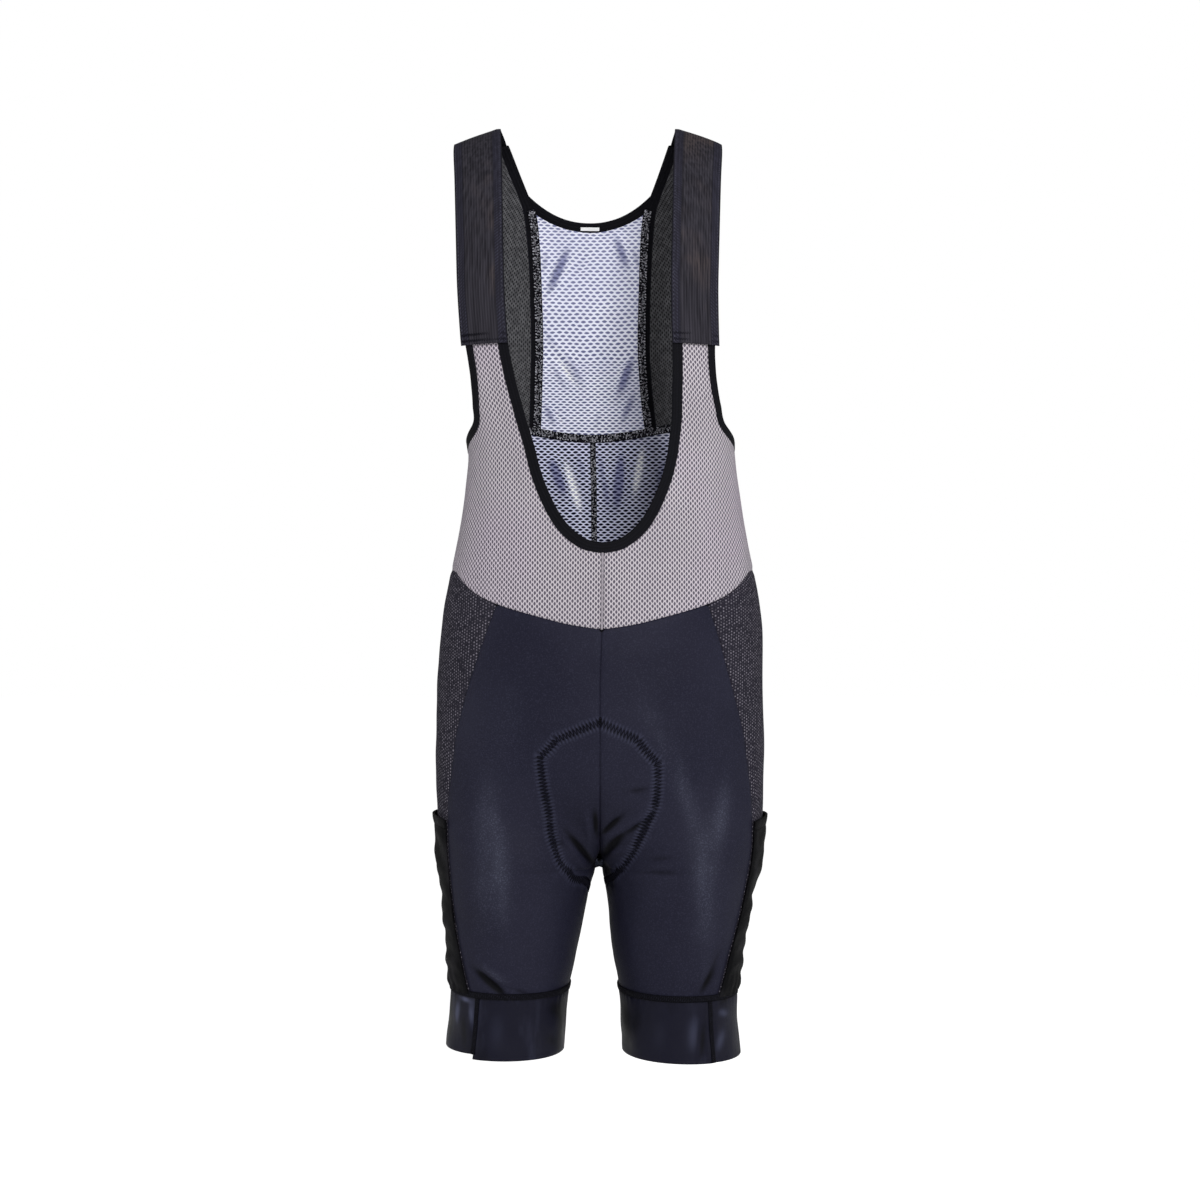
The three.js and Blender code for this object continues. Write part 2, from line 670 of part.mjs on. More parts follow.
// A line of the back band between two heights
const bandLine = (column, fromZ, toZ) => (s) => {
  const z = lerp(fromZ, toZ, s);
  return backAt(readTable(BACK_BAND, z, column), z);
};
const bandAtLevel = (column, level) => {
  let z = CHEST_Z * (1 - Math.sin((((level - CHEST_Z) / LEVEL_ARC) * Math.PI) / 2));
  for (let i = 0; i < 20; i++) {
    const crest = crestHeight(readTable(BACK_BAND, z, column));
    z = CHEST_Z + (crest - CHEST_Z) * Math.sin((((level - CHEST_Z) / LEVEL_ARC) * Math.PI) / 2);
  }
  return z;
};
const bandBottom = (column) => {
  let z = BACK_SEAM_Z;
  for (let i = 0; i < 20; i++) z = backSeamLevel(readTable(BACK_BAND, z, column));
  return z;
};

const sideSeamShare = (level) => shareAt(readTable(SIDE_SEAM, level, "x"), level, -1);
const frontSideSeam = (fromLevel, toLevel) => (s) => {
  const level = lerp(fromLevel, toLevel, s);
  return [sideSeamShare(level), level];
};
const backSideSeam = (fromLevel, toLevel) => (s) => {
  const [share, level] = frontSideSeam(fromLevel, toLevel)(s);
  return [1 - share, level];
};
// Where a side seam meets the waist seam
const seamWaist = (() => {
  let level = WAIST_SIDE_Z;
  for (let i = 0; i < 30; i++) level = waistLevel(sideSeamShare(level));
  return level;
})();
const backSeamWaist = (() => {
  let level = WAIST_SIDE_Z;
  for (let i = 0; i < 30; i++) level = waistLevel(1 - sideSeamShare(level));
  return level;
})();

// Bib: a mesh half on each side of the centre front seam

const BIB_ROWS = 20;
const BIB_COLUMNS = 9;
const BIB_FRONT_COLUMNS = 4;
const NECK_ROWS = 15;
const ARMHOLE_ROWS = 9;
const UNDER_ARM_STEPS = 4;
const BACK_ROWS = 22;
const LOWER_STEPS = 14;
const neckShare = NECK_ROWS / BIB_ROWS;
const tongueLevel = levelAt(STRAP_EDGES[5].inner, TONGUE_TOP_Z);
const neckMeshTop = findOn(neckMeshEdge, levelOf, tongueLevel, 0.5, 1.1);
const armholeMeshStart = findOn(armholeMeshEdge, levelOf, tongueLevel, -0.1, 0.3);

sewPair(
  "front_bib",
  (side) => {
    const centreTop = neckMeshEdge(0);
    const start = joined(
      part(neckMeshEdge, neckMeshTop, 0),
      straight([0, centreTop[1]], [0, waistLevel(0)]),
      neckShare,
    );
    const sideTop = armholeMeshEdge(armholeSide);
    const end = joined(
      part(armholeMeshEdge, armholeMeshStart, armholeSide),
      straight(sideTop, [BIB_SIDE_SEAM, waistLevel(BIB_SIDE_SEAM)]),
      ARMHOLE_ROWS / BIB_ROWS,
    );
    const top = straight(start(0), end(0));
    const seamTop = frontSideSeam(seamWaist, seamWaist)(0)[0];
    const overSide = waistLine(seamTop, BIB_SIDE_SEAM);
    const bottom = joined(waistLine(0, seamTop), overSide, BIB_FRONT_COLUMNS / BIB_COLUMNS);
    const rows = patch({ top, bottom, start, end }, BIB_COLUMNS, BIB_ROWS);
    return clothWall(onSide(drawnIn(rows, body), side));
  },
  "bibMesh",
);

// Strip of binding along a line on the body, with rows at the given stops
function bindingStrip(opening, meshEdge, stops, side = 1) {
  const rows = stops.map((s) => {
    const open = opening(s);
    const cloth = meshEdge(s);
    return [open, [lerp(open[0], cloth[0], 0.5), lerp(open[1], cloth[1], 0.5)], cloth];
  });
  const drawn = drawnIn(onSide(rows, side), body, BINDING_GAP);
  return clothWall(drawn, { proud: BINDING_PROUD, thick: BINDING_CLOTH });
}

const neckStops = evenSteps(-1, 1, 2 * NECK_ROWS);
sew("neckline_binding", bindingStrip(neckOpening, neckMeshEdge, neckStops), "binding");
// The armhole's stops are those of the meshes along it, so that the seams stay even
const armholeStops = [
  ...evenSteps(armholeMeshStart, armholeSide, ARMHOLE_ROWS),
  ...evenSteps(armholeSide, armholeBack, UNDER_ARM_STEPS).slice(1),
  ...evenSteps(armholeBack, armholeTop, BACK_ROWS).slice(1),
];
armholeStops[0] = 0;
sewPair(
  "armhole_binding",
  (side) => bindingStrip(armholeOpening, armholeMeshEdge, armholeStops, side),
  "binding",
);

// Front straps: they lie on the tongue of the bib below, and on the back strap behind the crest
const strapGrid = (across, down) => {
  const rows = [];
  for (let j = 0; j <= down; j++) {
    const angle = lerp(STRAP_START, STRAP_END, j / down);
    const inner = readTable(STRAP_EDGES, angle, "inner");
    const outer = readTable(STRAP_EDGES, angle, "outer");
    const row = [];
    for (let i = 0; i <= across; i++) row.push([lerp(inner, outer, i / across), angle]);
    rows.push(row);
  }
  return rows;
};
sewPair(
  "front_strap",
  (side) => {
    const geometry = clothWall(strapGrid(4, 24), {
      surface: strapSurface,
      proud: BINDING_PROUD + LAP_GAP + STRAP_CLOTH,
      thick: STRAP_CLOTH,
      stepP: 0.5,
      stepQ: 0.2,
    });
    return side > 0 ? geometry : mirrored(geometry);
  },
  "elastic",
);

// Back straps in close mesh, each with a band along its neck side

const bandTopInner = bandAtLevel("inner", strapTopLevel);
const bandTopOuter = bandAtLevel("outer", strapTopLevel);
const bandBottomInner = bandBottom("inner");
const bandBottomOuter = bandBottom("outer");
const bandX = (column, z) => readTable(BACK_BAND, z, column);

sewPair(
  "back_strap_band",
  (side) => {
    const start = bandLine("outer", bandTopOuter, bandBottomOuter);
    const end = bandLine("inner", bandTopInner, bandBottomInner);
    const top = straight(start(0), end(0));
    const bottom = backSeam(bandX("outer", bandBottomOuter), bandX("inner", bandBottomInner));
    const rows = patch({ top, bottom, start, end }, 2, BACK_ROWS);
    return clothWall(onSide(drawnIn(rows, body), side), { proud: BINDING_PROUD, thick: BINDING_CLOTH });
  },
  "binding",
);
sewPair(
  "back_strap",
  (side) => {
    const start = part(armholeMeshEdge, armholeTop, armholeBack);
    const end = bandLine("outer", bandTopOuter, bandBottomOuter);
    const top = straight(start(0), end(0));
    const seam = backSeam(BACK_SEAM_END_X, bandX("outer", bandBottomOuter));
    const bottom = (s) => (s <= 0 ? start(1) : seam(s));
    const rows = patch({ top, bottom, start, end }, 5, BACK_ROWS);
    return clothWall(onSide(drawnIn(rows, body), side));
  },
  "strapMesh",
);

// Back mesh between the straps, its neck binding and the label

const neckCurve = (curve, from, to) => (s) => {
  const x = lerp(from, to, s);
  return backAt(x, curve.z + curve.lift * Math.pow(Math.abs(x) / curve.half, curve.power));
};
const bandMirror = (line) => (s) => {
  const [p, q] = line(s);
  return [2 - p, q];
};
const neckEnd = bandLine("inner", NECK_TOP.end, NECK_BOTTOM.end);
const NECK_STEPS = 14;

sew(
  "back_neck_binding",
  clothWall(
    drawnIn(
      patch(
        {
          top: neckCurve(NECK_TOP, NECK_TOP.half, -NECK_TOP.half),
          bottom: neckCurve(NECK_BOTTOM, NECK_BOTTOM.half, -NECK_BOTTOM.half),
          start: neckEnd,
          end: bandMirror(neckEnd),
        },
        NECK_STEPS,
        2,
      ),
      body,
    ),
    { proud: BINDING_PROUD, thick: BINDING_CLOTH },
  ),
  "binding",
);

const upperEdge = bandLine("inner", NECK_BOTTOM.end, bandBottomInner);
const upperEnd = bandX("inner", bandBottomInner);
sew(
  "back_upper_panel",
  clothWall(
    drawnIn(
      patch(
        {
          top: neckCurve(NECK_BOTTOM, NECK_BOTTOM.half, -NECK_BOTTOM.half),
          bottom: backSeam(upperEnd, -upperEnd),
          start: upperEdge,
          end: bandMirror(upperEdge),
        },
        NECK_STEPS,
        18,
      ),
      body,
    ),
  ),
  "backMesh",
);

sew(
  "neck_label",
  clothWall(
    patch(
      {
        top: (s) => backAt(lerp(LABEL.half, -LABEL.half, s), LABEL.top),
        bottom: (s) => backAt(lerp(LABEL.half, -LABEL.half, s), LABEL.bottom),
        start: straight(backAt(LABEL.half, LABEL.top), backAt(LABEL.half, LABEL.bottom)),
        end: straight(backAt(-LABEL.half, LABEL.top), backAt(-LABEL.half, LABEL.bottom)),
      },
      4,
      2,
    ),
    { proud: BINDING_PROUD - BINDING_CLOTH - LAP_GAP, thick: LABEL_CLOTH },
  ),
  "label",
);

// Lower back: a half on each side of the centre back seam, from the back seam down to the waist
sewPair(
  "back_lower",
  (side) => {
    const seam = backSeam(0, BACK_SEAM_END_X);
    const underArm = part(armholeMeshEdge, armholeBack, armholeSide);
    const seamSteps = LOWER_STEPS - UNDER_ARM_STEPS;
    const top = joined((s) => (s >= 1 ? underArm(0) : seam(s)), underArm, seamSteps / LOWER_STEPS);
    const start = straight([1, BACK_SEAM_Z], [1, waistLevel(1)]);
    const end = straight(armholeMeshEdge(armholeSide), [BIB_SIDE_SEAM, waistLevel(BIB_SIDE_SEAM)]);
    const bottom = waistLine(1, BIB_SIDE_SEAM);
    const rows = patch({ top, bottom, start, end }, LOWER_STEPS, 10);
    return clothWall(onSide(drawnIn(rows, body), side));
  },
  "backMesh",
);

// Shorts

const legWall = (rows, side, sizes = {}) => {
  const surface = leg(side);
  return clothWall(drawnIn(onSide(rows, side), surface), { surface, ...sizes });
};

// Down a leg the rows close up where the cloth turns under at the crotch
const LEG_ROWS = 20;
const SIDE_COLUMNS = 9;
const crotchShare = 13 / LEG_ROWS;
const centreLine = (share) => {
  const above = straight([share, waistLevel(share)], [share, CROTCH_Z]);
  const below = straight([share, CROTCH_Z], [share, LEG_SEAM_Z]);
  return joined(above, below, crotchShare);
};
const evenly = (line, level0, level1) => (s) => {
  const level = s <= crotchShare
    ? lerp(level0, CROTCH_Z, s / crotchShare)
    : lerp(CROTCH_Z, level1, (s - crotchShare) / (1 - crotchShare));
  return line((level - level0) / (level1 - level0));
};
const frontEdge = evenly(frontSideSeam(seamWaist, LEG_SEAM_Z), seamWaist, LEG_SEAM_Z);
const backEdge = evenly(backSideSeam(backSeamWaist, LEG_SEAM_Z), backSeamWaist, LEG_SEAM_Z);

sewPair(
  "front_leg",
  (side) => {
    const rows = patch(
      {
        top: waistLine(0, frontEdge(0)[0]),
        bottom: straight([0, LEG_SEAM_Z], frontEdge(1)),
        start: centreLine(0),
        end: frontEdge,
      },
      11,
      LEG_ROWS,
    );
    return legWall(rows, side);
  },
  "navyCloth",
);
sewPair(
  "back_leg",
  (side) => {
    const rows = patch(
      {
        top: waistLine(backEdge(0)[0], 1),
        bottom: straight(backEdge(1), [1, LEG_SEAM_Z]),
        start: backEdge,
        end: centreLine(1),
      },
      11,
      LEG_ROWS,
    );
    return legWall(rows, side);
  },
  "navyCloth",
);
sewPair(
  "side_panel",
  (side) => {
    const rows = patch(
      {
        top: waistLine(frontEdge(0)[0], backEdge(0)[0]),
        bottom: straight(frontEdge(1), backEdge(1)),
        start: frontEdge,
        end: backEdge,
      },
      SIDE_COLUMNS,
      LEG_ROWS,
    );
    return legWall(rows, side);
  },
  "sideCloth",
);

// Thigh pocket: it lies on the side panel, stands off it most at the mouth, and has a hemmed top edge
const pocketRows = (fromLevel, toLevel, down) =>
  patch(
    {
      top: straight(frontSideSeam(fromLevel, fromLevel)(0), backSideSeam(fromLevel, fromLevel)(0)),
      bottom: straight(frontSideSeam(toLevel, toLevel)(0), backSideSeam(toLevel, toLevel)(0)),
      start: frontSideSeam(fromLevel, toLevel),
      end: backSideSeam(fromLevel, toLevel),
    },
    8,
    down,
  );
const pocketHemLevel = POCKET_TOP_Z - POCKET_HEM;
const pocketProud = (base, fromDown, toDown) => (across, down) => {
  const depth = lerp(fromDown, toDown, down);
  const crown = Math.sin(Math.PI * across);
  const wave = Math.sin(2 * Math.PI * POCKET_WAVES * depth + 1.1);
  return base + crown * (POCKET_BULGE * (1 - depth) + POCKET_WAVE_HEIGHT * wave * Math.sin(Math.PI * depth));
};
const hemShare = POCKET_HEM / (POCKET_TOP_Z - LEG_SEAM_Z);
sewPair(
  "pocket",
  (side) => {
    const proud = pocketProud(POCKET_STAND + CLOTH, hemShare, 1);
    return legWall(pocketRows(pocketHemLevel, LEG_SEAM_Z, 12), side, { proud });
  },
  "pocketCloth",
);
sewPair(
  "pocket_hem",
  (side) => {
    const proud = pocketProud(POCKET_STAND + CLOTH + BINDING_PROUD, 0, hemShare);
    const thick = BINDING_CLOTH - BINDING_PROUD;
    return legWall(pocketRows(POCKET_TOP_Z, pocketHemLevel, 1), side, { proud, thick });
  },
  "pocketCloth",
);

// Leg bands: a front and a back piece, joined at the inside of the leg and by a seam towards the outside,
// where the back piece ends a step higher
const bandSeamShare = shareAt(BAND_SEAM_X, LEG_SEAM_Z, -1);
const legBand = (from, to, startHem, across) =>
  patch(
    {
      top: straight([from, LEG_SEAM_Z], [to, LEG_SEAM_Z]),
      bottom: straight([from, startHem], [to, HEM_Z]),
      start: straight([from, LEG_SEAM_Z], [from, startHem]),
      end: straight([to, LEG_SEAM_Z], [to, HEM_Z]),
    },
    across,
    4,
  );
sewPair("leg_band_front", (side) => legWall(legBand(0, bandSeamShare, HEM_Z, 11), side), "bandCloth");
sewPair("leg_band_back", (side) => legWall(legBand(bandSeamShare, 1, HEM_Z + HEM_STEP, 16), side), "bandCloth");

// Seat pad: sewn to the inside of the shorts, from the front, through the crotch and up the seat. Its
// middle row runs from the inside of one leg, over the crotch, to the inside of the other.
function padHalf(outline, topZ, facing) {
  const share = facing < 0 ? 0 : 1;
  const lowest = [share, PAD_LOWEST];
  const places = outline.map(({ x, z }) => shortsAt(x, z, facing));
  const corner = facing < 0 ? places[0] : places[places.length - 1];
  const edge = lineThrough(facing < 0 ? [...places, lowest] : [lowest, ...places]);
  const centreTop = [share, topZ];
  const crotch = [share, CROTCH_Z];
  const far = straight(centreTop, corner);
  const under = straight(crotch, lowest);
  const lines =
    facing < 0
      ? { top: far, bottom: under, start: straight(centreTop, crotch), end: edge }
      : { top: under, bottom: far, start: straight(crotch, centreTop), end: edge };
  return patch(lines, PAD_STEPS, PAD_ROWS, PAD_CROWDING);
}

function padGeometry() {
  const front = padHalf(PAD_FRONT, PAD_TOP.front, -1);
  const back = padHalf(PAD_BACK, PAD_TOP.back, 1);
  const half = [...front, ...back.slice(1)].map((row) => row.map(([p, q]) => leg(1)(p, q)));
  const flipped = (point) => new THREE.Vector3(-point.x, point.y, point.z);
  const surface = half.map((row) => [...row.slice(1).reverse().map(flipped), ...row]);
  const rows = surface.length - 1;
  const columns = surface[0].length - 1;
  const normalAt = (j, i) => {
    const across = surface[j][Math.min(i + 1, columns)].clone().sub(surface[j][Math.max(i - 1, 0)]);
    const down = surface[Math.min(j + 1, rows)][i].clone().sub(surface[Math.max(j - 1, 0)][i]);
    return down.cross(across).normalize();
  };
  const sunk = (point, j, i, depth) => point.clone().addScaledVector(normalAt(j, i), -depth);
  const layer = (depthOf) => surface.map((row, j) => row.map((point, i) => sunk(point, j, i, depthOf(j, i))));
  const top = layer(() => CLOTH + PAD_STAND);
  const inside = layer((j, i) => {
    const middle = Math.sin((Math.PI * j) / rows) * Math.sin((Math.PI * i) / columns);
    return CLOTH + PAD_STAND + lerp(PAD_EDGE, PAD_THICK, Math.sqrt(Math.max(middle, 0)));
  });
  return wallGeometry(top, inside);
}
sew("seat_pad", padGeometry(), "pad");

export default garment;
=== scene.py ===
"""Cycling bib shorts, filled out as when worn: the sewn cloth, its seams and stitching, its folds and its
finishes. Lengths are worked out in millimetres and go into the meshes in metres."""

import bmesh
import bpy
import numpy as np
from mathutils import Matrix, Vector


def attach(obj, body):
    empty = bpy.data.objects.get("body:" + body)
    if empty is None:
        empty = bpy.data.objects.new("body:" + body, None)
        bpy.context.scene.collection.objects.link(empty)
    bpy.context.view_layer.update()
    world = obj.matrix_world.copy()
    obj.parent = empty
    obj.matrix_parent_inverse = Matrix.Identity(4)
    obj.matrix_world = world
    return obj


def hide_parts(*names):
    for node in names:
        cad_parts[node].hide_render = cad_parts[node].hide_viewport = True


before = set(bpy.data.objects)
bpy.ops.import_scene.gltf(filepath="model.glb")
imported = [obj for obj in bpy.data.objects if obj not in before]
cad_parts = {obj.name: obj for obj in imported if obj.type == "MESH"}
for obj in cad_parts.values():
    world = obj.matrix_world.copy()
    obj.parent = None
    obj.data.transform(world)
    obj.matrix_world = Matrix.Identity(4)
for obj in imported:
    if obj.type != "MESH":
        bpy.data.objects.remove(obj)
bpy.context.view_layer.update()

MM = 0.001

# Heights that drive the cut
CHEST_Z = -217
RISE_Z = -600
CROTCH_Z = -729
LEG_SEAM_Z = -852
HEM_Z = -915
HEM_STEP = 5
WAIST_SIDE_Z = -437
WAIST_BACK_LIFT = 4
TONGUE_TOP_Z = -212
INSEAM_Y = 6
RISE_POWER = 0.8
UNDER_SHARE = 0.3
LEVEL_ARC = 245
CREST_X = 90
CREST_SLOPE = 0.35
SHARE_MM = 470

# Cloth thicknesses and strip widths
CLOTH = 1.4
STRAP_CLOTH = 1.6
NECK_BINDING = 10
ARMHOLE_BINDING = 8
BIB_SIDE_SEAM = 0.53
BACK_SEAM_END_X = 114
BAND_SEAM_X = 113
BACK_SEAM_Z = -298
BACK_SEAM_LIFT = 12


def lerp(a, b, t):
    return a + (b - a) * t


def smooth(t):
    t = np.clip(t, 0, 1)
    return t * t * (3 - 2 * t)


class Table:
    """Rows in falling order of what they are read at, each column joined by a curve that never overshoots."""

    def __init__(self, columns, rows):
        rows = np.array(rows, float)[::-1]
        height = rows[:, 0]
        self.heights = np.linspace(height[0], height[-1], 4001)
        self.columns = {}
        for k, name in enumerate(columns.split()[1:], 1):
            slope = np.diff(rows[:, k]) / np.diff(height)
            product = slope[:-1] * slope[1:]
            total = np.where(product > 0, slope[:-1] + slope[1:], 1)
            inner = np.where(product > 0, 2 * product / total, 0)
            tangent = np.concatenate([slope[:1], inner, slope[-1:]])
            i = np.clip(np.searchsorted(height, self.heights) - 1, 0, len(height) - 2)
            run = height[i + 1] - height[i]
            t = (self.heights - height[i]) / run
            rise = rows[i + 1, k] - rows[i, k]
            start, end = tangent[i] * run, tangent[i + 1] * run
            curve = t * start + t**2 * (3 * rise - 2 * start - end) + t**3 * (start + end - 2 * rise)
            self.columns[name] = rows[i, k] + curve

    def read(self, name, z):
        return np.interp(z, self.heights, self.columns[name])


SECTIONS = Table(
    "z half front back squareFront squareBack inner",
    [
        (-217, 148, 103, 106, 0.7, 0.66, 0),
        (-257, 143, 102, 106, 0.68, 0.65, 0),
        (-287, 137.5, 100, 104, 0.66, 0.64, 0),
        (-317, 133, 99, 101, 0.64, 0.62, 0),
        (-357, 136.5, 99, 97, 0.62, 0.62, 0),
        (-402, 143.5, 101, 97, 0.61, 0.61, 0),
        (-437, 150.5, 103, 101, 0.6, 0.6, 0),
        (-470, 157, 105, 107, 0.6, 0.6, 0),
        (-500, 160.5, 106, 113, 0.6, 0.6, 0),
        (-540, 162, 107, 123, 0.6, 0.6, 0),
        (-620, 164, 105, 126, 0.6, 0.6, 0),
        (-680, 162, 99, 119, 0.6, 0.6, 0),
        (-729, 158, 91, 104, 0.6, 0.6, 0.4),
        (-747, 155, 87.5, 97, 0.6, 0.6, 6),
        (-762, 152, 85, 92, 0.6, 0.6, 9.5),
        (-792, 148.5, 79, 83, 0.6, 0.6, 13.5),
        (-822, 145.5, 73, 75, 0.6, 0.6, 18.5),
        (-852, 142.7, 68, 69, 0.6, 0.6, 24.5),
        (-882, 144, 66, 67, 0.6, 0.6, 27),
        (-920, 148, 66.5, 67.5, 0.6, 0.6, 29),
    ],
)
STRAP_EDGES = Table(
    "angle inner outer",
    [
        (112, 81, 131),
        (90, 87, 132.5),
        (75, 85.5, 132),
        (50, 82.5, 128.6),
        (25, 80, 125.5),
        (0, 77.7, 122.8),
        (-10, 77, 122),
    ],
)
STRAP_LAP_FROM = 249
STRAP_TUCK = 0.006
STRAP_WIDTH = 47
STRAP_START = -1.8
STRAP_END = 110
BACK_STRAP_TOP = 75
NECK_EDGE = [
    (0, -412),
    (16, -408.5),
    (34, -394),
    (48, -371),
    (60, -339),
    (68, -303),
    (74, -265),
    (77.5, -235),
    (78.8, -212),
]
ARMHOLE_FRONT = [(120.8, -212), (119.4, -235), (119, -256), (120.5, -278), (124.4, -297)]
ARMHOLE_UNDER = (0.53, -312)
ARMHOLE_BACK = [
    (129, -304),
    (124.5, -293),
    (121.5, -275),
    (120, -235),
    (120.3, -180),
    (121.5, -130),
    (124, -85),
    (127.5, -47),
    (130, -25),
    (131.5, -14.5),
]
BACK_BAND = Table(
    "z inner outer",
    [
        (0, 85, 95),
        (-8, 81, 91),
        (-18, 76.8, 87),
        (-33, 70.7, 81),
        (-49, 64, 74.2),
        (-67, 56.5, 68.5),
        (-90, 54, 66),
        (-130, 52.5, 63.8),
        (-200, 51, 62.6),
        (-250, 53, 64.5),
        (-300, 57, 68),
    ],
)
NECK_TOP = {"z": -75, "lift": 26, "half": 64, "power": 2.2, "end": -49}
NECK_BOTTOM = {"z": -84, "lift": 17, "half": 56.5, "power": 2, "end": -67}
SIDE_SEAM = Table(
    "z x",
    [
        (-440, 93),
        (-470, 101.5),
        (-503, 113),
        (-525, 120),
        (-565, 132),
        (-610, 142.5),
        (-672, 149),
        (-700, 148.5),
        (-762, 141.5),
        (-818, 129.5),
        (-852, 121),
    ],
)
WAIST_DROP = Table(
    "share drop",
    [
        (0.5, 0),
        (0.42, 1.5),
        (0.36, 9.5),
        (0.31, 19),
        (0.26, 27.5),
        (0.21, 34.5),
        (0.12, 45.5),
        (0.05, 54),
        (0, 58),
    ],
)
POCKET_TOP_Z = -679
POCKET_HEM = 9
POCKET_STAND = 1.2
PAD_TOP = {"front": -583, "back": -600}
PAD_FRONT = [(54, -615), (52, -640), (47, -670), (40, -705), (30, -730)]
PAD_LOWEST = -757
STITCH_FRONT = {
    1: [(55, -622), (55, -640), (52.5, -664), (45.5, -680), (37, -699), (29, -716), (18, -731)],
    -1: [(57, -616), (53.5, -647), (49, -672), (46, -696), (38, -720), (26.5, -734), (12.5, -743)],
}
STITCH_LOWEST = {1: -749, -1: -757}
PAD_BACK = [(32, -738), (55, -718), (74, -685), (78, -650), (66, -622)]
POSE = Table(
    "z aside behind",
    [
        (10, 0, 2),
        (-150, 0, 2),
        (-212, 2, 0),
        (-255, 6, -3),
        (-300, 11.5, -7),
        (-330, 13.8, -9),
        (-400, 14.5, -9),
        (-480, 14, -3),
        (-560, 12, 0),
        (-700, 12, 0),
        (-760, 9.5, 0),
        (-822, 6.5, 0),
        (-925, 5, 0),
    ],
)
POSE_DEPTH = 100
LEG_DROP = 0.016
CROTCH_PULL = 8.5
CROTCH_PULL_HALF = 3.4
CROTCH_PULL_REACH = 13
PUCKER_PITCH = 3.5

# Folds: from x, z to x, z, with the width of the crest and its height, which is negative for a trough
BACK_FOLDS = [
    (-16, -90, -47, -152, 8, -2.6),
    (6, -86, -26, -150, 9, 2.4),
    (22, -84, 46, -142, 8, -2.6),
    (-47, -205, -18, -262, 9, 2.6),
    (47, -208, 26, -270, 9, -2.4),
    (-49, -309, -28, -372, 9, -2.6),
    (-32, -308, -10, -386, 9, 2.6),
    (30, -308, 20, -384, 9, -2.6),
    (53, -305, 42, -372, 9, 2.6),
    (84, -305, 96, -395, 12, -2.4),
    (-80, -305, -98, -400, 12, -2.4),
]
FRONT_FOLDS = [
    (2, -700, 38, -664, 8, -3.2),
    (-6, -708, -36, -664, 8, -3),
    (12, -722, 52, -704, 8, -2.4),
]
# Smaller folds that only the cloth pieces have
FINE_BACK_FOLDS = [
    (-19, -92, -47, -152, 4, -1.8),
    (-10, -92, -38, -148, 4, 1.4),
    (6, -86, -26, -145, 4, -1.5),
    (23, -79, 48, -138, 4, -1.8),
    (34, -88, 50, -168, 4, 1.2),
    (-44, -96, -50, -130, 3, -1.2),
    (44, -92, 52, -128, 3, -1.2),
    (-47, -208, -20, -257, 4, -2.0),
    (-40, -203, -10, -250, 4, 1.7),
    (-32, -199, -1, -252, 4, -1.3),
    (-52, -176, -30, -214, 4, -1.1),
    (48, -204, 26, -257, 4, -1.8),
    (40, -204, 18, -256, 4, 1.4),
    (49, -243, 28, -288, 4, -1.7),
    (-51, -257, -38, -288, 4, -1.7),
    (-44, -262, -26, -291, 4, 1.2),
    (10, -262, 2, -293, 5, -1.0),
    (-53, -299, -43, -326, 3, 1.4),
    (-49, -310, -29, -362, 4, -2.2),
    (-32, -313, -12, -383, 5, 2.0),
    (-19, -303, -6, -352, 4, -1.3),
    (6, -303, 16, -380, 4, -1.8),
    (19, -303, 10, -352, 3, 1.0),
    (31, -303, 22, -383, 4, -2.1),
    (54, -299, 41, -362, 4, 2.1),
    (68, -303, 60, -341, 4, 1.3),
    (62, -302, 66, -352, 4, -1.2),
    (-70, -340, -110, -415, 6, 1.4),
    (76, -310, 64, -380, 5, -1.6),
    (-68, -308, -60, -372, 5, -1.5),
    (66, -340, 112, -418, 6, 1.4),
    (-16, -714, -78, -688, 6, -1.5),
    (14, -718, 80, -697, 6, -1.4),
    (-20, -737, -84, -719, 6, -1.1),
    (19, -740, 82, -724, 6, -1.2),
    (-30, -760, -92, -752, 7, -1.6),
    (28, -762, 90, -755, 7, -1.6),
    (-100, -832, -64, -848, 4, -1.2),
    (98, -828, 60, -846, 4, -1.2),
]
FINE_FRONT_FOLDS = [
    (-5, -666, -3, -696, 2.4, -1.8),
    (-14, -660, -9, -708, 3, 1.6),
    (-33, -688, -1, -731, 2.8, -2.2),
    (-38, -693, -6, -737, 2.4, 1.6),
    (0, -694, 22, -673, 2.6, -2.2),
    (1, -700, 50, -667, 3.2, 2.2),
    (-2, -724, 24, -688, 4, -2.3),
    (22, -693, 50, -674, 3, -1.6),
    (4, -726, 12, -752, 5, -2.4),
    (5, -714, 40, -703, 3, 1.2),
    (24, -650, 50, -646, 3, -1.0),
    (-52, -700, -30, -703, 3, -0.8),
    (44, -716, 74, -712, 2.6, -0.8),
    (42, -728, 80, -727, 3, -0.9),
    (-119, -824, -82, -853, 3.6, -3.2),
    (-114, -817, -76, -845, 3.6, 2.4),
    (-92, -838, -60, -851, 3, -1.2),
    (119, -820, 101, -851, 3.4, -1.8),
    (112, -814, 95, -846, 3.4, 1.4),
    (124, -800, 108, -836, 3.4, -1.0),
    (-60, -430, -20, -470, 10, -0.8),
    (84, -330, 66, -400, 8, -0.9),
    (-92, -320, -74, -392, 8, -0.9),
    (98, -222, 92, -300, 6, -0.8),
    (-100, -222, -94, -300, 6, -0.8),
]
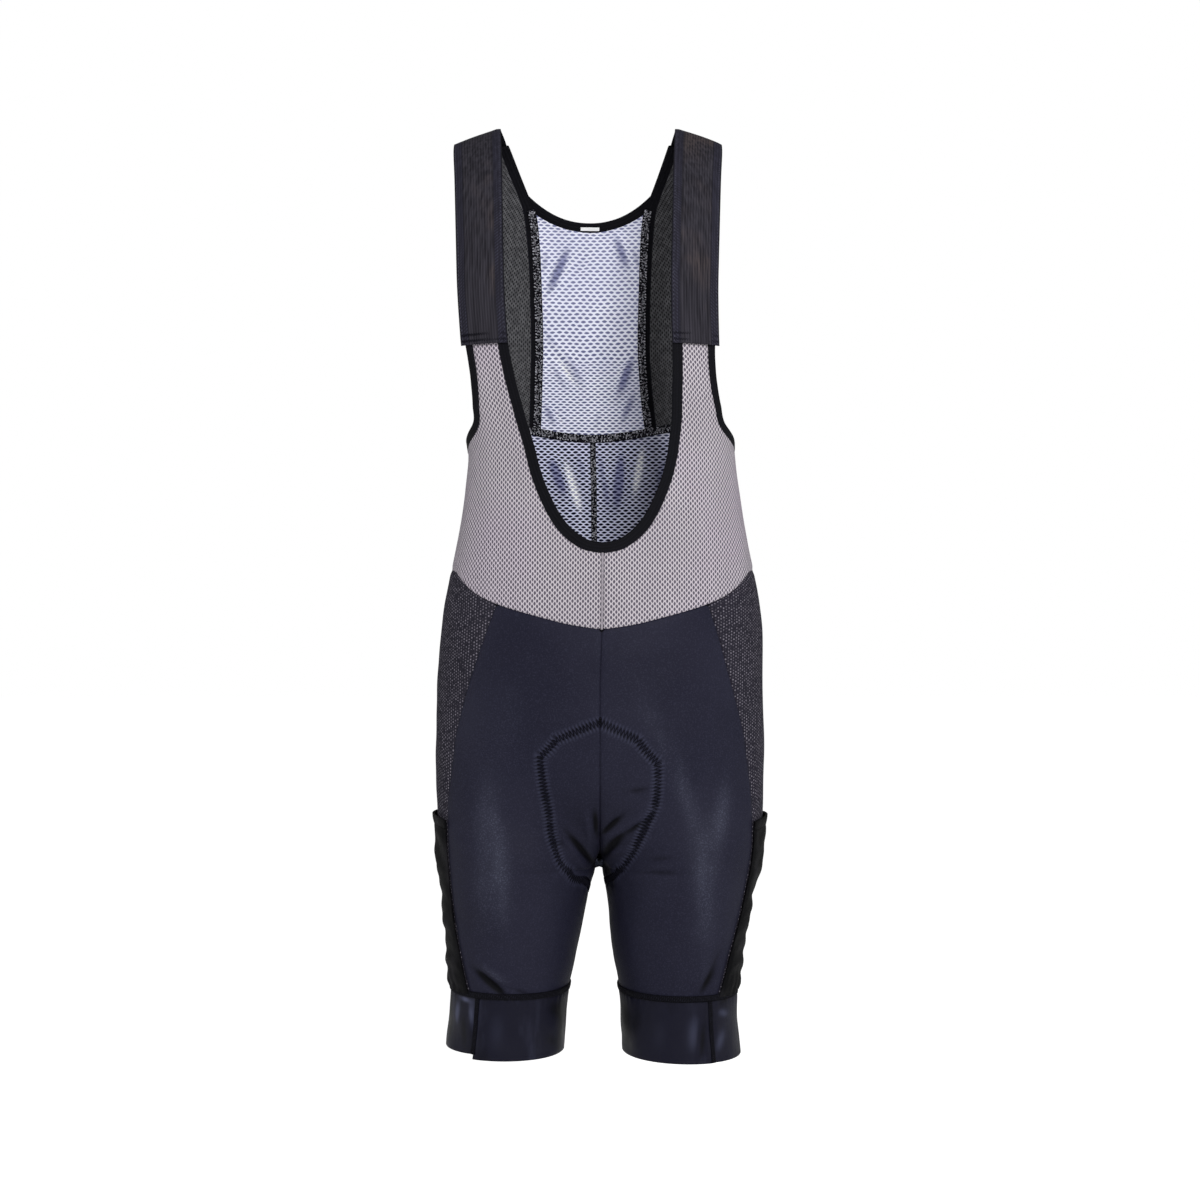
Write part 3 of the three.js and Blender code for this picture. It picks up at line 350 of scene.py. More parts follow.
# Where stretched cloth catches the light on the thighs, written like the folds with a strength for height
THIGH_GLEAMS = [
    (-112, -630, -106, -740, 14, 0.3),
    (-104, -650, -88, -810, 15, 0.42),
    (-118, -690, -108, -810, 9, 0.22),
    (30, -540, 95, -676, 14, 0.28),
    (60, -600, 104, -720, 10, 0.2),
    (95, -670, 107, -815, 15, 0.5),
    (125, -625, 108, -722, 10, 0.4),
    (-70, -520, -96, -640, 18, 0.14),
]
# Painted highlight (positive strength) and painted shade (negative) on the fronts of the leg bands, written
# like the folds
BAND_TONES = [
    (-132, -858, -135, -888, 3.2, 0.8),
    (-131, -857, -120, -859, 2.6, 0.9),
    (-120, -860, -118, -884, 2.6, 0.5),
    (-140, -860, -142, -912, 4, -0.8),
    (-126, -866, -126, -912, 3.4, -0.7),
    (-92, -860, -95, -912, 9, 0.2),
    (-60, -862, -62, -912, 8, 0.12),
    (-30, -856, -28, -914, 5, -1),
    (-42, -858, -33, -880, 6, -0.7),
    (-47, -890, -34, -908, 5, -0.5),
    (29, -856, 31, -914, 6, -1),
    (44, -858, 40, -900, 5, -0.5),
    (66, -866, 62, -912, 9, 0.14),
    (98, -862, 96, -910, 7, 0.4),
    (107, -870, 104, -914, 3.4, -0.8),
    (120, -864, 133, -872, 4, 0.5),
    (128, -880, 120, -908, 4.5, 0.45),
    (120, -860, 134, -854, 3, -0.6),
    (143, -862, 146, -912, 4, -0.4),
]
SEAT_GLEAMS = [
    (-70, -500, -96, -640, 22, 0.35),
    (74, -500, 98, -640, 22, 0.4),
    (-92, -690, -84, -810, 15, 0.3),
    (96, -700, 86, -815, 15, 0.35),
]

# The worn cloth's surface. A place on it is a share of the way round, from the front centre (0) through
# the side (0.5) to the back centre (1), negative on the right side, and a level, the height at the side.


def fold_lift(folds, x, z):
    lift = np.zeros(np.broadcast(x, z).shape)
    for x0, z0, x1, z1, width, height in folds:
        run_x, run_z = x1 - x0, z1 - z0
        along = ((x - x0) * run_x + (z - z0) * run_z) / (run_x**2 + run_z**2)
        inside = np.clip(along, 0, 1)
        away = np.hypot(x - x0 - inside * run_x, z - z0 - inside * run_z) / width
        lift = lift + height * np.sin(np.pi * np.clip(along, 0.08, 0.92)) * np.exp(-(away**2))
    return lift


def section_point(t, level, facing):
    t, level, facing = np.broadcast_arrays(np.asarray(t, float), level, facing)
    top = np.minimum(level, CHEST_Z)
    rise = np.clip((RISE_Z - top) / (RISE_Z - CROTCH_Z), 0, 1)
    turn = rise * np.pi / 2
    closing = smooth(rise)
    under = RISE_Z + (CROTCH_Z - RISE_Z) * np.sin(turn) ** RISE_POWER
    centre_z = np.where((rise > 0) & (rise < 1), under, top)
    z = lerp(top, centre_z, (1 - t) ** 2 * (1 + 2 * t))
    is_front = facing < 0
    half = SECTIONS.read("half", z)
    inner = np.where(z > CROTCH_Z, 0, SECTIONS.read("inner", z))
    square = np.where(is_front, SECTIONS.read("squareFront", z), SECTIONS.read("squareBack", z))
    depth = np.where(is_front, SECTIONS.read("front", z), SECTIONS.read("back", z))
    turned = np.maximum(np.cos(turn), 0) ** RISE_POWER
    centre_y = facing * depth * lerp(turned, 1 - closing, smooth(t / UNDER_SHARE)) + INSEAM_Y * closing
    leg_y = facing * depth * 4 / 3
    handle_x = lerp(inner + square * half, inner, closing)
    handle_y = lerp(facing * depth, leg_y, closing)
    side_y = lerp(facing * depth * square, leg_y, closing)
    a, b, c, d = (1 - t) ** 3, 3 * (1 - t) ** 2 * t, 3 * (1 - t) * t**2, t**3
    x = a * inner + b * handle_x + (c + d) * half
    y = a * centre_y + b * handle_y + c * side_y
    return np.stack([x, y, z], -1)


def crest_height(x):
    return -CREST_SLOPE * np.maximum(0, np.abs(x) - CREST_X)


def side_point(around, level, mirror):
    around, level, mirror = np.broadcast_arrays(np.asarray(around, float), level, mirror)
    facing = np.where(around <= 0.5, -1.0, 1.0)
    t = np.clip(np.where(around <= 0.5, 2 * around, 2 * (1 - around)), 0, 1)
    point = section_point(t, level, facing)
    over = np.maximum(level - CHEST_Z, 0) / LEVEL_ARC * np.pi / 2
    lifted = CHEST_Z + (crest_height(point[..., 0]) - CHEST_Z) * np.sin(over)
    point[..., 2] = np.where(level > CHEST_Z, lifted, point[..., 2])
    point[..., 1] *= np.cos(over)
    point[..., 0] *= mirror
    x, z = point[..., 0], point[..., 2]
    lift = np.where(facing < 0, fold_lift(FRONT_FOLDS, x, z), fold_lift(BACK_FOLDS, x, z))
    point[..., 1] += facing * lift
    return point


def body(place):
    wrapped = np.mod(place[..., 0] + 1, 2) - 1
    return side_point(np.abs(wrapped), place[..., 1], np.where(wrapped < 0, -1, 1))


def leg(side):
    """The same surface for one leg, which closes on itself below the crotch."""

    def surface(place):
        around, level = place[..., 0] * side, place[..., 1]
        is_above = level > CROTCH_Z
        turned = np.where(is_above, np.abs(around), np.mod(around, 1))
        return side_point(turned, level, np.where(is_above & (around < 0), -side, side))

    return surface


def share_at(x, level, facing):
    x, level, facing = np.broadcast_arrays(np.asarray(x, float), level, facing)
    low, high = np.zeros(x.shape), np.ones(x.shape)
    for _ in range(36):
        middle = (low + high) / 2
        is_short = section_point(middle, level, facing)[..., 0] < np.abs(x)
        low, high = np.where(is_short, middle, low), np.where(is_short, high, middle)
    share = np.where(facing < 0, low / 2, 1 - low / 2)
    return np.where(x >= 0, share, np.where(facing < 0, -share, 2 - share))


def level_at(x, z):
    reach = np.clip((z - CHEST_Z) / (crest_height(x) - CHEST_Z), 0, 1)
    return np.where(z <= CHEST_Z, z, CHEST_Z + LEVEL_ARC * np.arcsin(reach) * 2 / np.pi)


def place_at(x, z, facing):
    level = level_at(x, z)
    return np.stack(np.broadcast_arrays(share_at(x, level, facing), level), -1)


def shorts_at(x, z, facing):
    low, high = float(HEM_Z), float(RISE_Z)
    for _ in range(30):
        level = (low + high) / 2
        share = share_at(x, level, facing)
        t = 2 * share if facing < 0 else 2 * (1 - share)
        if section_point(t, level, facing)[..., 2] < z:
            low = level
        else:
            high = level
    return np.array([share_at(x, high, facing), high])


def strap_surface(place):
    x, angle = place[..., 0], place[..., 1]
    facing = np.where(angle <= 90, -1.0, 1.0)
    level = CHEST_Z + LEVEL_ARC * np.where(angle <= 90, angle, 180 - angle) / 90
    return body(np.stack([share_at(x, level, facing), level], -1))


def directions(surface, place, step=(0.002, 0.5)):
    """Along the two measures of a place, and outwards."""
    across, up = np.array([step[0], 0]), np.array([0, step[1]])
    along_p = (surface(place + across) - surface(place - across)) / (2 * step[0])
    along_q = (surface(place + up) - surface(place - up)) / (2 * step[1])
    normal = np.cross(along_p, along_q)
    return along_p, along_q, normal / np.linalg.norm(normal, axis=-1, keepdims=True)


def posed(points):
    """Points of the symmetric garment moved into the pose it hangs in."""
    x, y, z = points[..., 0], points[..., 1], points[..., 2]
    aside = POSE.read("aside", z) + POSE.read("behind", z) * np.maximum(y, 0) / POSE_DEPTH
    low = np.clip((RISE_Z - z) / (RISE_Z - HEM_Z), 0, 1)
    away = (x / CROTCH_PULL_HALF) ** 2 + ((z - CROTCH_Z) / CROTCH_PULL_REACH) ** 2
    pulled_up = CROTCH_PULL * np.exp(-away)
    return np.stack([x + aside, y, z - LEG_DROP * x * low + pulled_up], -1)


# Lines on the surface


def straight(start, end):
    start, end = np.array(start, float), np.array(end, float)
    return lambda s: start + np.asarray(s, float)[..., None] * (end - start)


def part(line, start, end):
    return lambda s: line(lerp(start, end, np.asarray(s, float)))


def joined(first, second, split):
    def line(s):
        s = np.asarray(s, float)
        early = first(np.minimum(s, split) / split)
        late = second(np.maximum(s - split, 0) / (1 - split))
        return np.where((s <= split)[..., None], early, late)

    return line


def mirrored(line, side):
    return lambda s: line(s) * np.array([side, 1])


def line_through(places):
    points = np.array(places, float) * (SHARE_MM, 1)
    padded = np.vstack([points[:1], points, points[-1:]])
    count = len(points) - 1
    t = np.linspace(0, count, 2401)
    i = np.minimum(t.astype(int), count - 1)
    f = (t - i)[:, None]
    p0, p1, p2, p3 = padded[i], padded[i + 1], padded[i + 2], padded[i + 3]
    v0, v1 = (p2 - p0) / 2, (p3 - p1) / 2
    dense = (2 * p1 - 2 * p2 + v0 + v1) * f**3 + (3 * p2 - 3 * p1 - 2 * v0 - v1) * f**2 + v0 * f + p1
    length = np.concatenate([[0], np.cumsum(np.linalg.norm(np.diff(dense, axis=0), axis=1))])
    ends = [dense[1] - dense[0], dense[-1] - dense[-2]]
    ends = [end / np.linalg.norm(end) for end in ends]

    def line(s):
        s = np.asarray(s, float)
        at = np.clip(s, 0, 1) * length[-1]
        point = np.stack([np.interp(at, length, dense[:, k]) for k in (0, 1)], -1)
        past = (s * length[-1] - at)[..., None]
        point = point + np.where(past < 0, ends[0], ends[1]) * past
        return point / (SHARE_MM, 1)

    return line


def line_frame(line, surface, s):
    """Points of a line on the surface, with its direction, the way aside from it, and outwards."""
    s = np.asarray(s, float)
    place = line(s)
    along = surface(line(s + 1e-3)) - surface(line(s - 1e-3))
    along = along / np.linalg.norm(along, axis=-1, keepdims=True)
    normal = directions(surface, place)[2]
    return surface(place), along, np.cross(normal, along), normal


def dot(a, b):
    return (a * b).sum(-1)


def moved(line, distance, surface=body):
    """A line that runs beside another on the surface, at a distance in millimetres."""

    def shifted(s):
        s = np.asarray(s, float)
        place = line(s)
        along = surface(line(s + 1e-3)) - surface(line(s - 1e-3))
        along = along / np.linalg.norm(along, axis=-1, keepdims=True)
        along_p, along_q, normal = directions(surface, place)
        aside = np.cross(normal, along) * distance
        pp, pq, qq = dot(along_p, along_p), dot(along_p, along_q), dot(along_q, along_q)
        ap, aq = dot(aside, along_p), dot(aside, along_q)
        determinant = pp * qq - pq * pq
        return place + np.stack([(ap * qq - aq * pq) / determinant, (aq * pp - ap * pq) / determinant], -1)

    return shifted


def find_on(line, measure, value, low, high):
    is_rising = line(high)[measure] > line(low)[measure]
    for _ in range(40):
        middle = (low + high) / 2
        if (line(middle)[measure] < value) == is_rising:
            low = middle
        else:
            high = middle
    return low


def patch(top, bottom, start, end, across, down, power=1.0):
    """Places between four lines: top and bottom run across, start and end run down."""
    a = np.linspace(0, 1, across + 1) ** power
    b = np.linspace(0, 1, down + 1)
    left, right = start(b)[:, None], end(b)[:, None]
    upper, lower = top(a)[None], bottom(a)[None]
    a, b = a[None, :, None], b[:, None, None]
    corners = (1 - a) * lerp(left[0], left[-1], b) + a * lerp(right[0], right[-1], b)
    return lerp(left, right, a) + lerp(upper, lower, b) - corners


# Seam and edge lines


def waist_level(share):
    share = np.asarray(share, float)
    back = WAIST_SIDE_Z + WAIST_BACK_LIFT * np.cos(np.pi * share) ** 2
    return np.where(np.abs(share) < 0.5, WAIST_SIDE_Z - WAIST_DROP.read("drop", np.abs(share)), back)


def waist_line(start, end):
    def line(s):
        share = lerp(start, end, np.asarray(s, float))
        return np.stack([share, waist_level(share)], -1)

    return line


neck_spline = line_through([place_at(x, z, -1) for x, z in NECK_EDGE])


def neck_opening(s):
    s = np.asarray(s, float)
    place = neck_spline(np.abs(s))
    return place * np.stack([np.where(s < 0, -1, 1), np.ones(s.shape)], -1)


neck_mesh_edge = moved(neck_opening, -NECK_BINDING)
armhole_opening = line_through(
    [place_at(x, z, -1) for x, z in ARMHOLE_FRONT]
    + [ARMHOLE_UNDER]
    + [place_at(x, z, 1) for x, z in ARMHOLE_BACK]
)
armhole_mesh_edge = moved(armhole_opening, -ARMHOLE_BINDING)


def back_seam_level(x):
    reach = np.minimum(np.abs(x) / BACK_SEAM_END_X, 1)
    return BACK_SEAM_Z + BACK_SEAM_LIFT * (1 - np.cos(np.pi * reach)) / 2


def back_seam(start, end):
    def line(s):
        x = lerp(start, end, np.asarray(s, float))
        return place_at(x, back_seam_level(x), 1)

    return line


strap_top_level = CHEST_Z + LEVEL_ARC * BACK_STRAP_TOP / 90
armhole_side = find_on(armhole_mesh_edge, 0, BIB_SIDE_SEAM, 0, 0.6)
armhole_back = find_on(armhole_mesh_edge, 1, back_seam_level(BACK_SEAM_END_X), armhole_side, 0.8)
armhole_top = find_on(armhole_mesh_edge, 1, strap_top_level, armhole_back, 1)
tongue_level = float(level_at(77.7, TONGUE_TOP_Z))
neck_mesh_top = find_on(neck_mesh_edge, 1, tongue_level, 0.5, 1.1)
armhole_mesh_start = find_on(armhole_mesh_edge, 1, tongue_level, -0.1, 0.3)


def band_line(column, start_z, end_z):
    def line(s):
        z = lerp(start_z, end_z, np.asarray(s, float))
        return place_at(BACK_BAND.read(column, z), z, 1)

    return line


def band_top(column):
    over = np.sin((strap_top_level - CHEST_Z) / LEVEL_ARC * np.pi / 2)
    z = CHEST_Z * (1 - over)
    for _ in range(20):
        z = CHEST_Z + (crest_height(BACK_BAND.read(column, z)) - CHEST_Z) * over
    return float(z)


def band_bottom(column):
    z = BACK_SEAM_Z
    for _ in range(20):
        z = back_seam_level(BACK_BAND.read(column, z))
    return float(z)


def neck_curve(curve, start, end):
    def line(s):
        x = lerp(start, end, np.asarray(s, float))
        return place_at(x, curve["z"] + curve["lift"] * (np.abs(x) / curve["half"]) ** curve["power"], 1)

    return line


def other_side(line):
    return lambda s: line(s) * (-1, 1) + (2, 0)


def side_seam(start_level, end_level, is_back=False):
    def line(s):
        level = lerp(start_level, end_level, np.asarray(s, float))
        share = share_at(SIDE_SEAM.read("x", level), level, -1)
        return np.stack([1 - share if is_back else share, level], -1)

    return line


def seam_waist(is_back):
    level = WAIST_SIDE_Z
    for _ in range(30):
        share = float(share_at(SIDE_SEAM.read("x", level), level, -1))
        level = float(waist_level(1 - share if is_back else share))
    return level


CROTCH_SHARE = 0.65
band_seam_share = float(share_at(BAND_SEAM_X, LEG_SEAM_Z, -1))


def down_leg(line, start_level):
    """A seam that runs down the leg, measured so that the crotch is at the same part of each."""

    def run(s):
        s = np.asarray(s, float)
        above = lerp(start_level, CROTCH_Z, s / CROTCH_SHARE)
        below = lerp(CROTCH_Z, LEG_SEAM_Z, (s - CROTCH_SHARE) / (1 - CROTCH_SHARE))
        level = np.where(s <= CROTCH_SHARE, above, below)
        return line((level - start_level) / (LEG_SEAM_Z - start_level))

    return run


front_side_top, back_side_top = seam_waist(False), seam_waist(True)
front_side_seam = down_leg(side_seam(front_side_top, LEG_SEAM_Z), front_side_top)
back_side_seam = down_leg(side_seam(back_side_top, LEG_SEAM_Z, True), back_side_top)


def centre_seam(share):
    crotch = (share, CROTCH_Z)
    above = straight((share, float(waist_level(share))), crotch)
    return joined(above, straight(crotch, (share, LEG_SEAM_Z)), CROTCH_SHARE)


# How far round the surface a place is, in millimetres, for patterns that keep one size on the cloth
LEVEL_STEP = 3.0
SHARE_STEPS = 200
LEVELS = np.arange(-930, 34, LEVEL_STEP)
SHARES = np.linspace(0, 1, SHARE_STEPS + 1)
rings = side_point(SHARES[None, :], LEVELS[:, None], 1.0)
ring_steps = np.linalg.norm(np.diff(rings, axis=1), axis=-1)
ROUND = np.concatenate([np.zeros((len(LEVELS), 1)), np.cumsum(ring_steps, axis=1)], axis=1)


def distance_round(place):
    share, level = np.abs(place[..., 0]), place[..., 1]
    i = np.clip((level - LEVELS[0]) / LEVEL_STEP, 0, len(LEVELS) - 1.001)
    j = np.clip(share * SHARE_STEPS, 0, SHARE_STEPS - 0.001)
    i0, j0 = i.astype(int), j.astype(int)
    low = lerp(ROUND[i0, j0], ROUND[i0, j0 + 1], j - j0)
    high = lerp(ROUND[i0 + 1, j0], ROUND[i0 + 1, j0 + 1], j - j0)
    return lerp(low, high, i - i0)


# Cloth pieces

SEAM_DIP = 0.7
SEAM_REACH = 3.0
PIECE_GAP = 0.12
LAP_GAP = 0.8
BINDING_THICK = 2.8
BINDING_MIDDLE = -0.7
BINDING_LAP = 0.7
ROUND_MM = 20
FLAT_SEAM = {"width": 5, "thick": 1.6, "height": -1.9}
PAD_STITCH_WIDTH = 8.4
PAD_THREAD = 0.42

sewn_on = {}


def mesh_from_grid(name, points, uv, marks=None, closed=False):
    """An object made from a grid of points in millimetres, with its cloth measure as the UV map."""
    down, across = points.shape[0] - 1, points.shape[1] - 1
    bm = bmesh.new()
    bmesh.ops.create_grid(bm, x_segments=across, y_segments=down, size=0.5)
    mesh = bpy.data.meshes.new(name)
    bm.to_mesh(mesh)
    bm.free()
    flat = np.zeros(len(mesh.vertices) * 3)
    mesh.vertices.foreach_get("co", flat)
    flat = flat.reshape(-1, 3)
    i = np.rint((flat[:, 0] + 0.5) * across).astype(int)
    j = np.rint((0.5 - flat[:, 1]) * down).astype(int)
    mesh.vertices.foreach_set("co", (posed(points[j, i]) * MM).ravel())
    corners = np.zeros(len(mesh.loops), int)
    mesh.loops.foreach_get("vertex_index", corners)
    measure = mesh.uv_layers.new(name="cloth")
    measure.data.foreach_set("uv", (uv[j, i] * MM)[corners].ravel())
    for mark, values in (marks or {}).items():
        mesh.attributes.new(mark, "FLOAT", "POINT").data.foreach_set("value", values[j, i].astype(float))
    if closed:
        bm = bmesh.new()
        bm.from_mesh(mesh)
        bmesh.ops.remove_doubles(bm, verts=bm.verts, dist=1e-5)
        bmesh.ops.holes_fill(bm, edges=[e for e in bm.edges if e.is_boundary], sides=0)
        bmesh.ops.recalc_face_normals(bm, faces=bm.faces)
        bm.to_mesh(mesh)
        bm.free()
    mesh.shade_smooth()
    piece = bpy.data.objects.new(name, mesh)
    bpy.context.scene.collection.objects.link(piece)
    return piece, j, i


def face_like(piece, directions_out):
    """Turns an open sheet's faces over if most point against the given directions of its corners."""
    normals = np.zeros(len(piece.data.vertices) * 3)
    piece.data.vertices.foreach_get("normal", normals)
    if (normals.reshape(-1, 3) * directions_out).sum() < 0:
        piece.data.flip_normals()


def lengths_along(points, axis):
    steps = np.linalg.norm(np.diff(points, axis=axis), axis=-1)
    start = np.zeros_like(np.take(points[..., 0], [0], axis=axis))
    return np.concatenate([start, np.cumsum(steps, axis=axis)], axis=axis)


def draw_in(places, surface, gap=PIECE_GAP):
    """Edges drawn in a little, so that neighbours don't meet."""
    for _ in range(2):
        places = places.swapaxes(0, 1)
        for edge, near in ((0, 1), (-1, -2)):
            step = np.linalg.norm(surface(places[near]) - surface(places[edge]), axis=-1)
            places[edge] = lerp(places[edge], places[near], (gap / np.maximum(step, gap))[:, None])
    return places


def wander(u, v, seed, size):
    """Slow uneven waves between -1 and 1."""
    rng = np.random.default_rng(seed)
    total = 0
    for _ in range(6):
        turn, phase, length = rng.uniform(0, np.pi), rng.uniform(0, 6.3), size * rng.uniform(0.7, 1.6)
        total = total + np.sin((u * np.cos(turn) + v * np.sin(turn)) * 2 * np.pi / length + phase)
    return total / 3.2


def dress(piece, finish, node=None, on=None):
    """Gives a piece its material, hangs it from the root and hides the imported part named by node. on names
    the cloth piece that a trim is sewn on.
    """
    piece.data.materials.append(finish)
    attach(piece, "root")
    if node:
        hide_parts(node)
    if on:
        sewn_on.setdefault(on, []).append(piece)
    return piece


def across_back(places):
    return np.stack([body(places)[..., 0], places[..., 1]], -1)


def around_leg(places):
    return np.stack([distance_round(places), places[..., 1]], -1)


def painted_back_fold_shading(points):
    """Painted shade in the back's fold troughs and painted highlight on its ridges, as seen from inside."""
    x, z = points[..., 0], points[..., 2]
    return {"tone": 0.4 * (fold_lift(FINE_BACK_FOLDS, x, z) + 0.3 * fold_lift(BACK_FOLDS, x, z))}


def cloth(name, lines, across, down, finish, node, side=1, surface=body, thick=CLOTH, proud=0.0,
          seams="top bottom start end", step=(0.002, 0.5), measure=around_leg, uneven=0.25, dips=None,
          folds=True, tone=painted_back_fold_shading):
    """A piece of cloth between four lines, with its dips at the seams and its folds."""
    places = draw_in(patch(*lines, across, down) * np.array([side, 1]), surface)
    points = surface(places)
    normal = directions(surface, places, step)[2]
    rows, columns = lengths_along(points, 1), lengths_along(points, 0)
    reach = {"start": rows, "end": rows[:, -1:] - rows, "top": columns, "bottom": columns[-1:] - columns}
    near = np.minimum.reduce(list(reach.values()))
    uv = measure(places)
    x, z = points[..., 0], points[..., 2]
    is_front = points[..., 1] < 0
    lift = np.zeros(rows.shape) + (proud(places, rows) if callable(proud) else proud)
    for seam in seams.split():
        lift -= SEAM_DIP * np.exp(-((reach[seam] / SEAM_REACH) ** 2))
    if folds:
        fine = np.where(is_front, fold_lift(FINE_FRONT_FOLDS, x, z), fold_lift(FINE_BACK_FOLDS, x, z))
        lift += fine * smooth(near / 6)
    lift += uneven * wander(uv[..., 0], uv[..., 1], len(name) + side, 46) * smooth(near / 5)
    if dips:
        lift += dips(points)
    shaped = points + normal * lift[..., None]
    piece, j, i = mesh_from_grid(name, shaped, uv, tone(points))
    face_like(piece, normal[j, i])
    wall = piece.modifiers.new("wall", "SOLIDIFY")
    wall.thickness = thick * MM
    wall.offset = -1
    dress(piece, finish, node)
    return piece


def rounded_profile(round_steps, square):
    """A ring between a circle and a rectangle, as its turn and its two measures from -1 to 1."""
    turn = np.linspace(0, 2 * np.pi, round_steps + 1)[:, None]
    ring = np.stack([np.cos(turn), np.sin(turn)])
    return turn, *(np.sign(ring) * np.abs(ring) ** square)


def ribbon(name, line, width, thick, finish, on, surface=body, height=0.0, steps=160, wave=0.0):
    """A flat strip with rounded edges along a line. height is how far its middle stands off the surface."""
    s = np.linspace(0, 1, steps + 1)
    centre, _, aside, normal = line_frame(line, surface, s)
    turn, x, y = rounded_profile(14, 0.55)
    length = lengths_along(centre, 0)
    ripple = 1 + wave * wander(length, length * 0.3, len(name), 22)[None]
    points = centre[None] + aside[None] * (x * width / 2 * np.ones_like(ripple))[..., None]
    points = points + normal[None] * (y * thick / 2 * ripple + height)[..., None]
    uv = np.stack(np.broadcast_arrays(turn / (2 * np.pi) * ROUND_MM, length[None]), -1)
    piece = mesh_from_grid(name, points, uv, closed=True)[0]
    return dress(piece, finish, on=on)


def binding(name, inner, outer, node, on, steps, side=1, wave=0.06, laps=(BINDING_LAP, BINDING_LAP)):
    """A folded strip whose two edges follow two lines, each passed by a small lap."""
    s = np.linspace(0, 1, steps + 1)
    a, b = inner(s) * np.array([side, 1]), outer(s) * np.array([side, 1])
    normal = directions(body, (a + b) / 2)[2]
    start, middle, end = body(a), body((a + b) / 2), body(b)
    half = (end - start) / 2
    width = np.linalg.norm(half, axis=-1, keepdims=True)
    length = lengths_along(middle, 0)
    ripple = 1 + wave * wander(length, length * 0.3, len(name), 22)[None]
    turn, x, y = rounded_profile(16, 0.5)
    reach = x[..., None] * (1 + np.where(x[..., None] < 0, laps[0], laps[1]) / width[None])
    points = middle[None] + half[None] * reach + ((start + end) / 2 - middle)[None] * x[..., None] ** 2
    points = points + normal[None] * (y * BINDING_THICK / 2 * ripple + BINDING_MIDDLE)[..., None]
    uv = np.stack(np.broadcast_arrays(turn / (2 * np.pi) * ROUND_MM, length[None]), -1)
    piece = mesh_from_grid(name, points, uv, closed=True)[0]
    return dress(piece, finishes["binding"], node, on)


def zigzag(name, line, surface, width, pitch, radius, on, height=0.3, sides=5):
    """A zigzag of round thread along a line on the surface."""
    dense = surface(line(np.linspace(0, 1, 400)))
    length = lengths_along(dense, 0)
    turns = int(length[-1] / pitch * 2)
    at = np.linspace(0, length[-1], turns * 3 + 1)
    s = np.interp(at, length, np.linspace(0, 1, 400))
    centre, _, aside, normal = line_frame(line, surface, s)
    swing = 2 * np.abs(np.mod(at / pitch, 1) - 0.5) * 2 - 1
    points = centre + aside * (swing * width / 2)[:, None] + normal * height
    along = np.gradient(points, axis=0)
    across = np.cross(normal, along / np.linalg.norm(along, axis=1, keepdims=True))
    turn = np.linspace(0, 2 * np.pi, sides + 1)[:, None, None]
    grid = points[None] + radius * (np.cos(turn) * across[None] + np.sin(turn) * normal[None])
    piece = mesh_from_grid(name, grid, np.zeros(grid.shape[:2] + (2,)), closed=True)[0]
    return dress(piece, finishes["thread"], on=on)


# Finishes


def srgb(colour):
    return [(c / 255 / 12.92) if c <= 10 else ((c / 255 + 0.055) / 1.055) ** 2.4 for c in colour]


